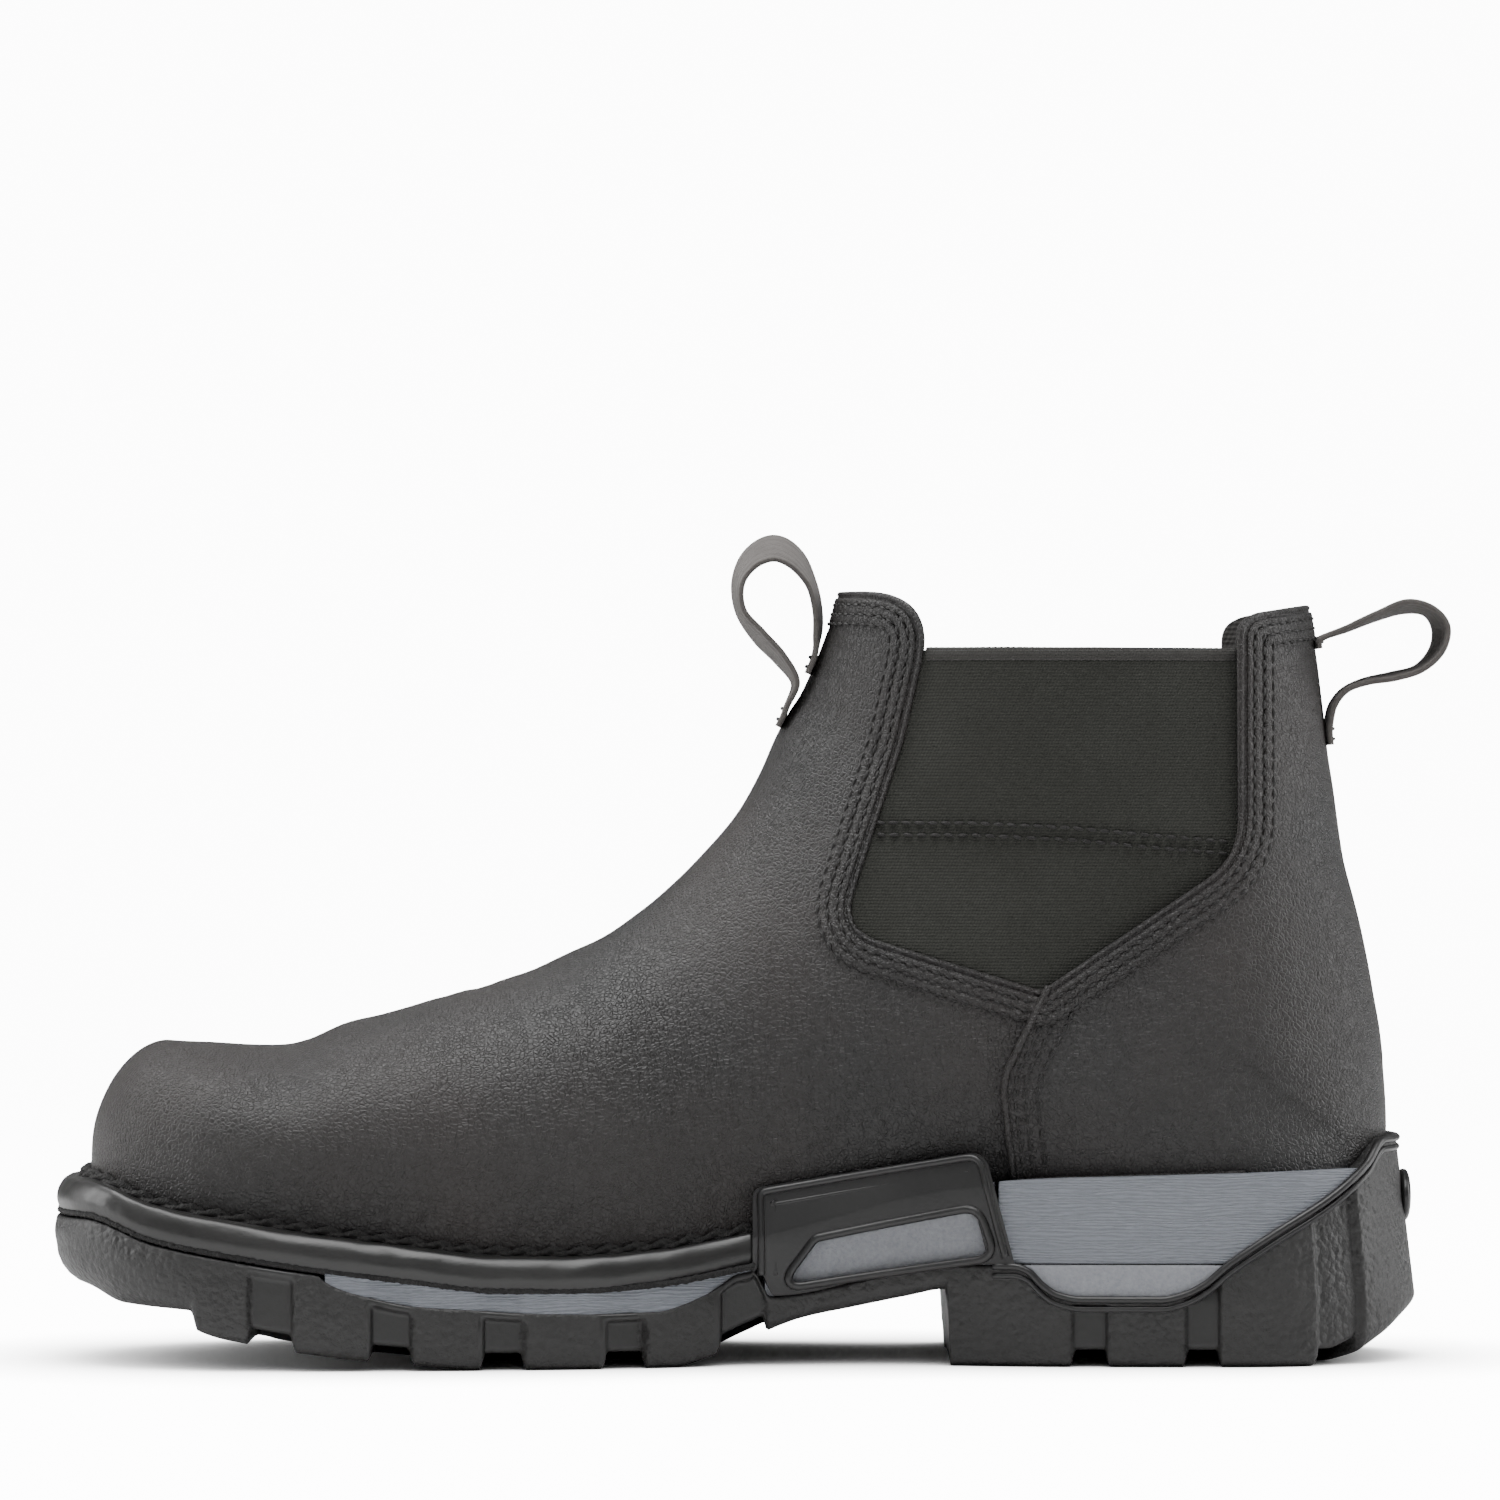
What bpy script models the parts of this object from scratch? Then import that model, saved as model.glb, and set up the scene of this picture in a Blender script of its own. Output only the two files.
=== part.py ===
"""Side gore work boot, right foot, at its real size.

Metres, +Z up. The toe points along +X and the inner side of the foot is +Y.
The origin is on the floor, under the middle of the heel.
"""

import math

import bmesh
import bpy
from mathutils import Vector

# Last and upper
LAST_LENGTH = 0.2918
LAST_BACK = -0.0536
BALL_HALF_WIDTH = 0.0470
UPPER_HEIGHT = 0.1290
UPPER_WALL = 0.0026
TOE_TIP_RISE = 0.0062
TOE_PLAN_ROUND = 0.0580
HEEL_PLAN_ROUND = 0.0350
TOE_SQUARENESS = 2.7
HEEL_SQUARENESS = 2.15
TOE_PROFILE = 1.8

# Overlay and elastic
QUARTER_THICKNESS = 0.0014
GORE_THICKNESS = 0.0016
GORE_RECESS = 0.0008
GORE_TOP = 0.1170

# Sole heights, all above the floor
SEAT_HEIGHT = 0.0434
BALL_HEIGHT = 0.0241
TOE_SPRING = 0.0157
WELT_HEIGHT = 0.0070
ARCH_CLEARANCE = 0.0186
LUG_DEPTH = 0.0038
HEEL_BEVEL = 0.0120
TREAD_SPRING = 0.0190
EDGE_BEVEL = 0.0030
TOE_BEVEL = 0.0095
TOE_BEVEL_START = 0.905
TOE_BEVEL_SPAN = 0.07

# Sole edges, outwards from the feather line of the last
TOE_EDGE = 0.0079
FOREPART_EDGE = 0.0080
WAIST_EDGE = 0.0062
HEEL_EDGE = 0.0091
HEEL_LEAN = 0.0043
LEAN_FOOT = 0.0145
LEAN_END = 0.30
LEAN_FADE = 0.12
MIDSOLE_RECESS = 0.0006
WELT_SEAM = 0.00075
LEDGE_DROP = 0.0035
LEDGE_STEP = 0.0021

# Arch frame
FRAME_WALL = 0.0016
FRAME_PLATE = 0.0012
FRAME_PROUD = 0.0006
FRAME_LAP = 0.0120
FRAME_LEAN = 0.0025

# Insole and pull loops
INSOLE_THICKNESS = 0.0042
INSOLE_ROOM = 0.0015
WEBBING_WIDTH = 0.0160
WEBBING_THICKNESS = 0.0015
LOOP_REACH = 0.0300

# Side channels and tread grooves
CHANNEL_DEPTH = 0.0016
CHANNEL_WIDTH = 0.0098
CHANNEL_TOP = 0.0012
GROOVE_LENGTH = 0.0300
CENTRE_GROOVE_WIDTH = 0.0050
CENTRE_GROOVE_LENGTH = 0.0320
TOOL_REACH = 0.0060
TOOL_DEPTH = 0.0100
TOOL_ACROSS = 0.1000
RIM_STEP = 0.004

# Raised oval on the back of the heel cup
BOSS_HEIGHT = 0.0118
BOSS_WIDTH = 0.0190
BOSS_PROUD = 0.0018
BOSS_MIDDLE = 0.0366

GAP = 0.0003

TOE_RINGS = 6
LOWER_STEPS = 5
UPPER_STEPS = 7
LOOP_STEPS = 28
CORNER_STEPS = 4

# Feather line and last plan. share: along the last from its back. seat, toe: how much of the
# seat's rise over the ball, and of the toe spring. centre, half: shares of the ball's half width.
PLAN = [
    # share, seat, toe, centre, half
    (0.000, 1.000, 0.000, 0.000, 0.680),
    (0.115, 0.965, 0.000, 0.000, 0.684),
    (0.184, 0.938, 0.000, -0.006, 0.687),
    (0.269, 0.900, 0.000, -0.036, 0.687),
    (0.341, 0.790, 0.000, -0.074, 0.690),
    (0.424, 0.487, 0.000, -0.111, 0.715),
    (0.495, 0.228, 0.000, -0.117, 0.772),
    (0.563, 0.057, 0.000, -0.100, 0.872),
    (0.629, 0.000, 0.000, -0.076, 0.948),
    (0.681, 0.000, 0.015, -0.059, 0.978),
    (0.749, 0.000, 0.160, -0.034, 1.000),
    (0.818, 0.000, 0.325, 0.004, 0.996),
    (0.886, 0.000, 0.520, 0.051, 0.968),
    (0.944, 0.000, 0.730, 0.094, 0.936),
    (1.000, 0.000, 1.060, 0.132, 0.915),
]

# Sections of the last, from the toe box to the collar. order: the section's number. top: the
# ridge point, along the last and as a rise above the feather line there, a share of the upper's
# height. foot: where the section meets the feather line. back: its rise up the back seam once it
# has left the feather line. belly: how far the side swells past the feather line, a share of the
# ball's half width. level: where along the section it is widest. low, high: how square it is
# below and above that. ridge: the ridge's place across the foot, a share of the ball's half width.
SECTIONS = [
    # order, top, top_rise, foot, back, belly, level, low, high, ridge
    (0, 0.944, 0.2830, 0.944, 0.00, 0.055, 0.36, 2.20, 2.75, 0.094),
    (1, 0.912, 0.2930, 0.912, 0.00, 0.058, 0.37, 2.20, 2.75, 0.080),
    (2, 0.878, 0.3010, 0.878, 0.00, 0.060, 0.38, 2.20, 2.60, 0.070),
    (3, 0.850, 0.3120, 0.850, 0.00, 0.060, 0.38, 2.20, 2.45, 0.066),
    (4, 0.834, 0.3260, 0.834, 0.00, 0.060, 0.38, 2.20, 2.35, 0.066),
    (5, 0.804, 0.3650, 0.806, 0.00, 0.060, 0.37, 2.20, 2.25, 0.070),
    (6, 0.773, 0.3910, 0.774, 0.00, 0.060, 0.36, 2.20, 2.20, 0.074),
    (7, 0.727, 0.4364, 0.724, 0.00, 0.062, 0.34, 2.20, 2.12, 0.076),
    (8, 0.665, 0.4908, 0.652, 0.00, 0.066, 0.32, 2.20, 2.06, 0.076),
    (9, 0.603, 0.5500, 0.566, 0.00, 0.074, 0.30, 2.20, 2.02, 0.068),
    (10, 0.573, 0.5914, 0.496, 0.00, 0.082, 0.29, 2.20, 2.00, 0.060),
    (11, 0.542, 0.6471, 0.416, 0.00, 0.086, 0.29, 2.20, 2.00, 0.050),
    (12, 0.511, 0.7100, 0.330, 0.00, 0.080, 0.30, 2.25, 2.02, 0.040),
    (13, 0.496, 0.7480, 0.262, 0.00, 0.076, 0.32, 2.30, 2.06, 0.030),
    (14, 0.480, 0.8050, 0.176, 0.00, 0.074, 0.34, 2.40, 2.10, 0.020),
    (15, 0.468, 0.8610, 0.094, 0.00, 0.072, 0.37, 2.50, 2.14, 0.012),
    (16, 0.457, 0.8990, 0.040, 0.00, 0.072, 0.39, 2.55, 2.16, 0.006),
    (17, 0.449, 0.9220, 0.000, 0.00, 0.072, 0.40, 2.55, 2.18, 0.000),
    (18, 0.439, 0.9650, 0.000, 0.24, 0.074, 0.42, 2.45, 2.20, 0.000),
    (19, 0.431, 1.0060, 0.000, 0.48, 0.084, 0.44, 2.35, 2.22, 0.000),
    (20, 0.424, 1.0420, 0.000, 0.72, 0.098, 0.46, 2.25, 2.24, 0.000),
    (21, 0.419, 1.0810, 0.000, 0.93, 0.112, 0.48, 2.20, 2.25, 0.000),
    (22, 0.414, 1.1280, 0.000, 1.05, 0.120, 0.49, 2.20, 2.25, 0.000),
]
TOP, TOP_RISE, FOOT, BACK, BELLY, LEVEL, LOW, HIGH, RIDGE = range(1, 10)

# Back seam: rise above the seat as a share of the upper's height, and how far it stands forward
# of the last's back as a share of the last's length.
BACK_SEAM = [
    # rise, forward
    (0.000, 0.0000),
    (0.046, -0.0050),
    (0.150, -0.0024),
    (0.229, 0.0017),
    (0.307, 0.0079),
    (0.385, 0.0141),
    (0.464, 0.0216),
    (0.543, 0.0302),
    (0.647, 0.0370),
    (0.726, 0.0425),
    (0.856, 0.0480),
    (0.960, 0.0550),
    (1.060, 0.0620),
]

# Outlines seen from the side, as corners. x: share along the last. z: rise above the seat, and
# radius: the corner's round, both shares of the upper's height.
COLLAR_CUT = [
    # x, z, radius
    (0.520, 1.0180, 0.000),
    (0.345, 1.0060, 0.075),
    (0.371, 0.7450, 0.200),
    (0.4185, 0.4200, 0.070),
    (0.264, 0.3130, 0.012),
    (0.113, 0.5450, 0.130),
    (0.1135, 0.9650, 0.045),
    (0.050, 0.9880, 0.000),
    (-0.060, 0.9900, 0.000),
    (-0.060, 1.4000, 0.000),
    (0.520, 1.4000, 0.000),
]
QUARTER_AREA = [
    (0.2815, -0.100, 0.000),
    (0.2965, 0.160, 0.120),
    (0.2560, 0.345, 0.000),
    (0.190, 0.700, 0.000),
    (0.190, 1.400, 0.000),
    (-0.200, 1.400, 0.000),
    (-0.200, -0.100, 0.000),
]
# The frame and its window. x: share along the last. z: share of the seat's height above the
# floor. radius: a share of the seat's height.
FRAME_AREA = [
    (0.4860, 0.200, 0.000),
    (0.4860, 0.915, 0.060),
    (0.3080, 1.110, 0.100),
    (0.2850, 0.525, 0.000),
    (0.2850, 0.200, 0.000),
]
WINDOW_AREA = [
    (0.4655, 0.416, 0.045),
    (0.4390, 0.645, 0.050),
    (0.3120, 0.808, 0.090),
    (0.3000, 0.576, 0.070),
]

# Edge of the outsole: height as a share of the seat's height, by share along the last.
OUTSOLE_EDGE = [
    (-0.031, 1.157),
    (-0.0165, 1.157),
    (0.004, 1.028),
    (0.036, 0.878),
    (0.084, 0.696),
    (0.121, 0.537),
    (0.140, 0.433),
    (0.156, 0.380),
    (0.173, 0.356),
    (0.235, 0.356),
    (0.253, 0.380),
    (0.265, 0.433),
    (0.275, 0.500),
    (0.286, 0.525),
    (0.344, 0.515),
    (0.472, 0.360),
    (0.486, 0.504),
    (0.519, 0.382),
    (0.540, 0.322),
    (0.557, 0.293),
    (0.609, 0.286),
    (0.663, 0.295),
    (0.692, 0.309),
    (0.744, 0.334),
    (0.779, 0.382),
    (0.797, 0.417),
    (0.812, 0.468),
    (0.860, 1.000),
]
WELT_START = 0.4870
LEDGE_START = 0.4800
STRIP_END = 0.8130

# Underside of the sole. arch, spring and bevel: shares of the clearance under the waist, the
# tread's spring and the heel's bevel.
UNDERSIDE = [
    # share, arch, spring, bevel
    (-0.031, 0.00, 0.00, 0.96),
    (0.000, 0.00, 0.00, 0.53),
    (0.030, 0.00, 0.00, 0.12),
    (0.045, 0.00, 0.00, 0.00),
    (0.334, 0.00, 0.00, 0.00),
    (0.337, 0.92, 0.00, 0.00),
    (0.368, 0.83, 0.00, 0.00),
    (0.4085, 0.70, 0.00, 0.00),
    (0.448, 0.57, 0.00, 0.00),
    (0.491, 0.31, 0.00, 0.00),
    (0.520, 0.11, 0.00, 0.00),
    (0.548, 0.00, 0.00, 0.00),
    (0.700, 0.00, 0.00, 0.00),
    (0.742, 0.00, 0.06, 0.00),
    (0.784, 0.00, 0.12, 0.00),
    (0.825, 0.00, 0.20, 0.00),
    (0.868, 0.00, 0.31, 0.00),
    (0.909, 0.00, 0.47, 0.00),
    (0.914, 0.00, 0.70, 0.00),
    (0.968, 0.00, 0.74, 0.00),
    (1.000, 0.00, 0.90, 0.00),
]

# Width of the sole's edge round the last: which of the four named edges holds where.
EDGE_WIDTHS = [
    # share, width
    (0.000, HEEL_EDGE),
    (0.250, HEEL_EDGE),
    (0.380, WAIST_EDGE),
    (0.480, WAIST_EDGE),
    (0.620, FOREPART_EDGE),
    (0.850, FOREPART_EDGE),
    (1.000, TOE_EDGE),
]

# Side channels between the lugs: share along the last, and width as a share of the channel's.
CHANNELS = [
    # share, width
    (0.8514, 1.00),
    (0.7629, 1.00),
    (0.6789, 1.00),
    (0.5888, 1.00),
    (0.4970, 1.20),
    (0.2260, 0.86),
    (0.1410, 0.84),
    (0.0492, 1.06),
]

# Section of the welt. out: a share of the sole's edge. up: a share of the welt's height.
WELT_SECTION = [
    # out, up
    (-0.45, -1.00),
    (-0.45, -0.06),
    (0.15, -0.06),
    (0.20, 0.14),
    (0.50, 0.12),
    (0.78, -0.08),
    (0.94, -0.36),
    (0.96, -0.62),
    (0.87, -0.88),
    (0.70, -1.00),
]

# Pull loops, in loop reaches from the point where the free webbing leaves the boot. out: away
# from the boot. up: upwards. twist: of the webbing, in degrees.
FRONT_LOOP = [
    # out, up, twist
    (0.370, -0.560, 0.0),
    (0.300, -0.440, 0.0),
    (0.205, -0.250, 2.0),
    (0.320, -0.060, 6.0),
    (0.480, 0.110, 12.0),
    (0.620, 0.300, 18.0),
    (0.640, 0.520, 22.0),
    (0.540, 0.700, 26.0),
    (0.370, 0.780, 28.0),
    (0.210, 0.700, 26.0),
    (0.090, 0.520, 20.0),
    (0.040, 0.330, 12.0),
    (0.035, 0.150, 5.0),
    (0.070, -0.010, 0.0),
    (0.140, -0.160, 0.0),
]
REAR_LOOP = [
    (-0.010, 0.170, 0.0),
    (0.045, 0.250, 0.0),
    (0.240, 0.340, -3.0),
    (0.430, 0.420, -6.0),
    (0.640, 0.490, -8.0),
    (0.820, 0.460, -9.0),
    (0.915, 0.330, -9.0),
    (0.885, 0.160, -8.0),
    (0.750, 0.020, -6.0),
    (0.550, -0.040, -4.0),
    (0.340, -0.080, -2.0),
    (0.180, -0.150, 0.0),
    (0.085, -0.280, 0.0),
    (0.070, -0.430, 0.0),
    (0.080, -0.560, 0.0),
]
FRONT_LOOP_SEAT = (0.4314, 0.9897)
REAR_LOOP_SEAT = (0.0418, 0.8740)


def smooth_value(rows, place, column=1):
    """Value of a table's column at a place, on a curve that passes the rows and never overshoots."""
    if place <= rows[0][0]:
        return rows[0][column]
    if place >= rows[-1][0]:
        return rows[-1][column]
    index = max(i for i, row in enumerate(rows[:-1]) if row[0] <= place)
    slopes = [
        (after[column] - before[column]) / (after[0] - before[0])
        for before, after in zip(rows, rows[1:])
    ]

    def slope_at(row):
        if row == 0 or row == len(rows) - 1:
            return 0.0
        left, right = slopes[row - 1], slopes[row]
        if left * right <= 0.0:
            return 0.0
        return 2.0 * left * right / (left + right)

    start, end = rows[index], rows[index + 1]
    width = end[0] - start[0]
    t = (place - start[0]) / width
    rise = (3.0 - 2.0 * t) * t * t
    lead = t * (1.0 - t) * (1.0 - t) * slope_at(index)
    trail = t * t * (1.0 - t) * slope_at(index + 1)
    return start[column] * (1.0 - rise) + end[column] * rise + width * (lead - trail)


def along_last(share):
    """X of a share along the last."""
    return LAST_BACK + LAST_LENGTH * share


def share_of(x):
    """Share along the last of an X."""
    return (x - LAST_BACK) / LAST_LENGTH


def feather_height(share):
    """Height of the feather line above the floor."""
    seat = smooth_value(PLAN, share, 1) * (SEAT_HEIGHT - BALL_HEIGHT)
    return BALL_HEIGHT + seat + smooth_value(PLAN, share, 2) * TOE_SPRING


def end_round(distance, radius, squareness):
    """Share of the full width at a distance from a rounded end of the plan."""
    if distance >= radius:
        return 1.0
    inward = (radius - max(distance, 0.0)) / radius
    return max(0.0, 1.0 - inward**squareness) ** (1.0 / squareness)


def toe_round(share):
    """Narrowing of the plan towards the tip of the toe."""
    return end_round(LAST_LENGTH * (1.0 - share), TOE_PLAN_ROUND, TOE_SQUARENESS)


def heel_round(share):
    """Narrowing of the plan towards the back of the heel."""
    return end_round(LAST_LENGTH * share, HEEL_PLAN_ROUND, HEEL_SQUARENESS)


def plan_centre(share):
    """Y of the middle of the last's plan."""
    return smooth_value(PLAN, share, 3) * BALL_HALF_WIDTH


def plan_half(share):
    """Half width of the last's plan, before the heel is rounded."""
    return smooth_value(PLAN, share, 4) * BALL_HALF_WIDTH * toe_round(share)


def section_ring(foot, top, widths, shape):
    """Points of one section, from its inner foot over the ridge to its outer foot.

    foot, top: (x, y, z) of the middle of the foot and of the ridge. widths: half width at the
    foot and at the widest level. shape: level, low, high.
    """
    foot, top = Vector(foot), Vector(top)
    foot_half, full_half = widths
    level, low, high = shape
    closed = 1.0 - foot_half / full_half if full_half > 1e-6 else 1.0
    power = 1.0 + (1.0 / low - 1.0) * closed
    steps = []
    for i in range(LOWER_STEPS):
        u = 1.0 - math.cos(0.5 * math.pi * i / LOWER_STEPS)
        swell = (1.0 - (1.0 - u) ** low) ** power
        steps.append((level * u, foot_half + (full_half - foot_half) * swell))
    for i in range(UPPER_STEPS + 1):
        u = math.sin(0.5 * math.pi * i / UPPER_STEPS)
        steps.append((level + (1.0 - level) * u, full_half * max(0.0, 1.0 - u**high) ** (1.0 / high)))
    steps[-1] = (1.0, 0.0)
    inner, outer = [], []
    for t, half in steps:
        drift = t * t * (3.0 - 2.0 * t)
        middle = foot.lerp(top, t)
        middle.y = foot.y + (top.y - foot.y) * drift
        inner.append(middle + Vector((0.0, half, 0.0)))
        outer.append(middle - Vector((0.0, half, 0.0)))
    return inner + outer[-2::-1]


def section_orders():
    """Places of the rings in the table of sections: closer together from the instep up."""
    last = SECTIONS[-1][0]
    orders = [float(i) for i in range(9)]
    while orders[-1] < last:
        orders.append(orders[-1] + 0.5)
    return orders


def toe_rings():
    """Upright rings from the tip of the toe back to the first section."""
    first = SECTIONS[0]
    start = along_last(first[TOP])
    tip = along_last(1.0)
    tip_z = feather_height(1.0) + TOE_TIP_RISE
    top_z = feather_height(first[TOP]) + UPPER_HEIGHT * first[TOP_RISE]
    rings = []
    for i in range(TOE_RINGS, 0, -1):
        angle = 0.5 * math.pi * i / TOE_RINGS
        forward = math.sin(angle) ** (2.0 / TOE_PROFILE)
        x = start + (tip - start) * forward
        z = tip_z + (top_z - tip_z) * max(0.0, 1.0 - forward**TOE_PROFILE) ** (1.0 / TOE_PROFILE)
        share = share_of(x)
        half = plan_half(share) if i < TOE_RINGS else 0.0
        belly = first[BELLY] * BALL_HALF_WIDTH * toe_round(share) if i < TOE_RINGS else 0.0
        y = plan_centre(share)
        foot, top = (x, y, feather_height(share)), (x, y, z)
        rings.append(section_ring(foot, top, (half, half + belly), first[LEVEL:RIDGE]))
    return rings


def leg_rings():
    """Rings from the first section over the instep to above the collar."""
    rings = []
    for order in section_orders():
        row = [smooth_value(SECTIONS, order, column) for column in range(len(SECTIONS[0]))]
        foot_x = along_last(row[FOOT] + smooth_value(BACK_SEAM, row[BACK]))
        foot_z = feather_height(row[FOOT]) + UPPER_HEIGHT * row[BACK]
        top_z = feather_height(row[TOP]) + UPPER_HEIGHT * row[TOP_RISE]
        full = plan_half(row[FOOT])
        foot_half = full * heel_round(row[FOOT])
        foot = (foot_x, plan_centre(row[FOOT]), foot_z)
        top = (along_last(row[TOP]), row[RIDGE] * BALL_HALF_WIDTH, top_z)
        belly = row[BELLY] * BALL_HALF_WIDTH * toe_round(row[FOOT])
        rings.append(section_ring(foot, top, (foot_half, full + belly), row[LEVEL:RIDGE]))
    return rings


def last_mesh():
    """Open outer surface of the upper, facing out, with its feather points marked by index."""
    rings = toe_rings() + leg_rings()
    mesh = bmesh.new()
    grid = [[mesh.verts.new(point) for point in ring] for ring in rings]
    for before, after in zip(grid, grid[1:]):
        for i in range(len(before) - 1):
            mesh.faces.new((before[i], after[i], after[i + 1], before[i + 1]))
    bmesh.ops.remove_doubles(mesh, verts=mesh.verts, dist=1e-5)
    bmesh.ops.dissolve_degenerate(mesh, edges=mesh.edges, dist=1e-6)
    bmesh.ops.recalc_face_normals(mesh, faces=mesh.faces)
    foremost = max(mesh.faces, key=lambda face: face.calc_center_median().x)
    if foremost.normal.x < 0.0:
        bmesh.ops.reverse_faces(mesh, faces=mesh.faces)
    bmesh.ops.triangulate(mesh, faces=mesh.faces)
    mesh.normal_update()
    return mesh


def is_foot(vert):
    """Whether a vertex of the open surface lies on the feather line."""
    limit = feather_height(share_of(vert.co.x)) + 1e-5
    return vert.is_boundary and vert.co.z <= limit


def offset_places(mesh, outward):
    """Where each vertex goes when the surface moves outward. The feather line stays level."""
    places = []
    for vert in mesh.verts:
        normal = vert.normal.copy()
        if is_foot(vert):
            normal.z = 0.0
            normal.normalize()
        places.append(vert.co + normal * outward)
    return places


def new_object(name, mesh, collection):
    """Object from a bmesh, which is freed."""
    data = bpy.data.meshes.new(name)
    mesh.to_mesh(data)
    mesh.free()
    thing = bpy.data.objects.new(name, data)
    collection.objects.link(thing)
    return thing


def last_shell(name, inside, outside, collection):
    """Wall between two surfaces at these distances outward from the last, open at both ends."""
    mesh = last_mesh()
    inner_places = offset_places(mesh, inside)
    outer_places = offset_places(mesh, outside)
    rim = [(edge, edge.link_faces[0]) for edge in mesh.edges if edge.is_boundary]
    rim_pairs = []
    for edge, face in rim:
        start, end = edge.verts
        loops = [loop.vert for loop in face.loops]
        if loops[(loops.index(start) + 1) % len(loops)] != end:
            start, end = end, start
        rim_pairs.append((start.index, end.index))
    faces = [[vert.index for vert in face.verts] for face in mesh.faces]
    mesh.free()
    wall = bmesh.new()
    outer = [wall.verts.new(place) for place in outer_places]
    inner = [wall.verts.new(place) for place in inner_places]
    for face in faces:
        wall.faces.new([outer[i] for i in face])
        wall.faces.new([inner[i] for i in reversed(face)])
    for start, end in rim_pairs:
        wall.faces.new((outer[end], outer[start], inner[start], inner[end]))
    return new_object(name, wall, collection)


def last_block(name, outward, collection):
    """Closed form of the last at a distance outward, from just under the feather line up."""
    mesh = last_mesh()
    places = offset_places(mesh, outward)
    feet = [vert for vert in mesh.verts if is_foot(vert)]
    for vert, place in zip(mesh.verts, places):
        vert.co = place
    for vert in feet:
        vert.co.z -= GAP
    back = min(feet, key=lambda vert: vert.co.x)
    front = max(feet, key=lambda vert: vert.co.x)
    sides = [vert for vert in feet if vert not in (back, front)]
    sides.sort(key=lambda vert: vert.co.x)
    inner = [vert for vert in sides if vert.co.y > plan_centre(share_of(vert.co.x))]
    outer = [vert for vert in sides if vert.co.y < plan_centre(share_of(vert.co.x))]
    mesh.faces.new((back, inner[0], outer[0]))
    for i in range(min(len(inner), len(outer)) - 1):
        mesh.faces.new((inner[i], inner[i + 1], outer[i + 1], outer[i]))
    mesh.faces.new((inner[-1], front, outer[-1]))
    open_edges = [edge for edge in mesh.edges if edge.is_boundary]
    bmesh.ops.holes_fill(mesh, edges=open_edges, sides=0)
    bmesh.ops.recalc_face_normals(mesh, faces=mesh.faces)
    return new_object(name, mesh, collection)


def edge_width(share):
    """Width of the sole's edge beyond the feather line."""
    return smooth_value(EDGE_WIDTHS, share)


def heel_lean(share, height):
    """How far the heel cup leans in at a height."""
    start = LEAN_FOOT
    climb = max(0.0, (height - start) / (OUTSOLE_EDGE[0][1] * SEAT_HEIGHT - start))
    fade = min(1.0, max(0.0, (LEAN_END - share) / LEAN_FADE))
    return HEEL_LEAN * climb * fade


def outsole_edge(share):
    """Height of the outsole's top edge."""
    height = smooth_value(OUTSOLE_EDGE, share) * SEAT_HEIGHT
    if share > WELT_START:
        height = min(height, feather_height(min(share, 1.0)) - WELT_HEIGHT - WELT_SEAM)
    return height


def underside(share):
    """Height of the sole's underside."""
    arch = smooth_value(UNDERSIDE, share, 1) * ARCH_CLEARANCE
    spring = smooth_value(UNDERSIDE, share, 2) * TREAD_SPRING
    return arch + spring + smooth_value(UNDERSIDE, share, 3) * HEEL_BEVEL


def edge_bevel(share):
    """Round at the bottom edge of the sole, larger round the toe."""
    toe = min(1.0, max(0.0, (share - TOE_BEVEL_START) / TOE_BEVEL_SPAN))
    return EDGE_BEVEL + (TOE_BEVEL - EDGE_BEVEL) * toe


def rim_shares():
    """Stations along the sole, closer together at both ends and wherever a table has a row."""
    heel = HEEL_PLAN_ROUND / LAST_LENGTH
    toe = TOE_PLAN_ROUND / LAST_LENGTH
    shares = [heel * (1.0 - math.cos(math.radians(18 * i))) for i in range(1, 5)]
    shares += [1.0 - toe * (1.0 - math.cos(math.radians(12 * i))) for i in range(1, 7)]
    shares += [row[0] for row in OUTSOLE_EDGE + UNDERSIDE if heel < row[0] < 1.0 - toe]
    shares += [WELT_START]
    shares.sort()
    kept = []
    for share in shares:
        if not kept or share - kept[-1] > 0.0024:
            kept.append(share)
    return kept


def rim():
    """Stations round the feather line: share, point and outward direction, in plan."""
    shares = rim_shares()

    def point(share, side):
        half = plan_half(share) * heel_round(share)
        return Vector((along_last(share), plan_centre(share) + side * half))

    stops = [(0.0, Vector((along_last(0.0), plan_centre(0.0))))]
    stops += [(share, point(share, 1.0)) for share in shares]
    stops += [(1.0, Vector((along_last(1.0), plan_centre(1.0))))]
    stops += [(share, point(share, -1.0)) for share in reversed(shares)]
    stations = []
    for i, (share, place) in enumerate(stops):
        ahead = stops[(i + 1) % len(stops)][1] - stops[i - 1][1]
        stations.append((share, place, Vector((-ahead.y, ahead.x)).normalized()))
    return stations


def rim_point(station, outward, height):
    """Point beyond a station. The height is a function of the share where the point lies."""
    share, place, direction = station
    spot = place + direction * outward
    return Vector((spot.x, spot.y, height(share_of(spot.x))))


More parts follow.
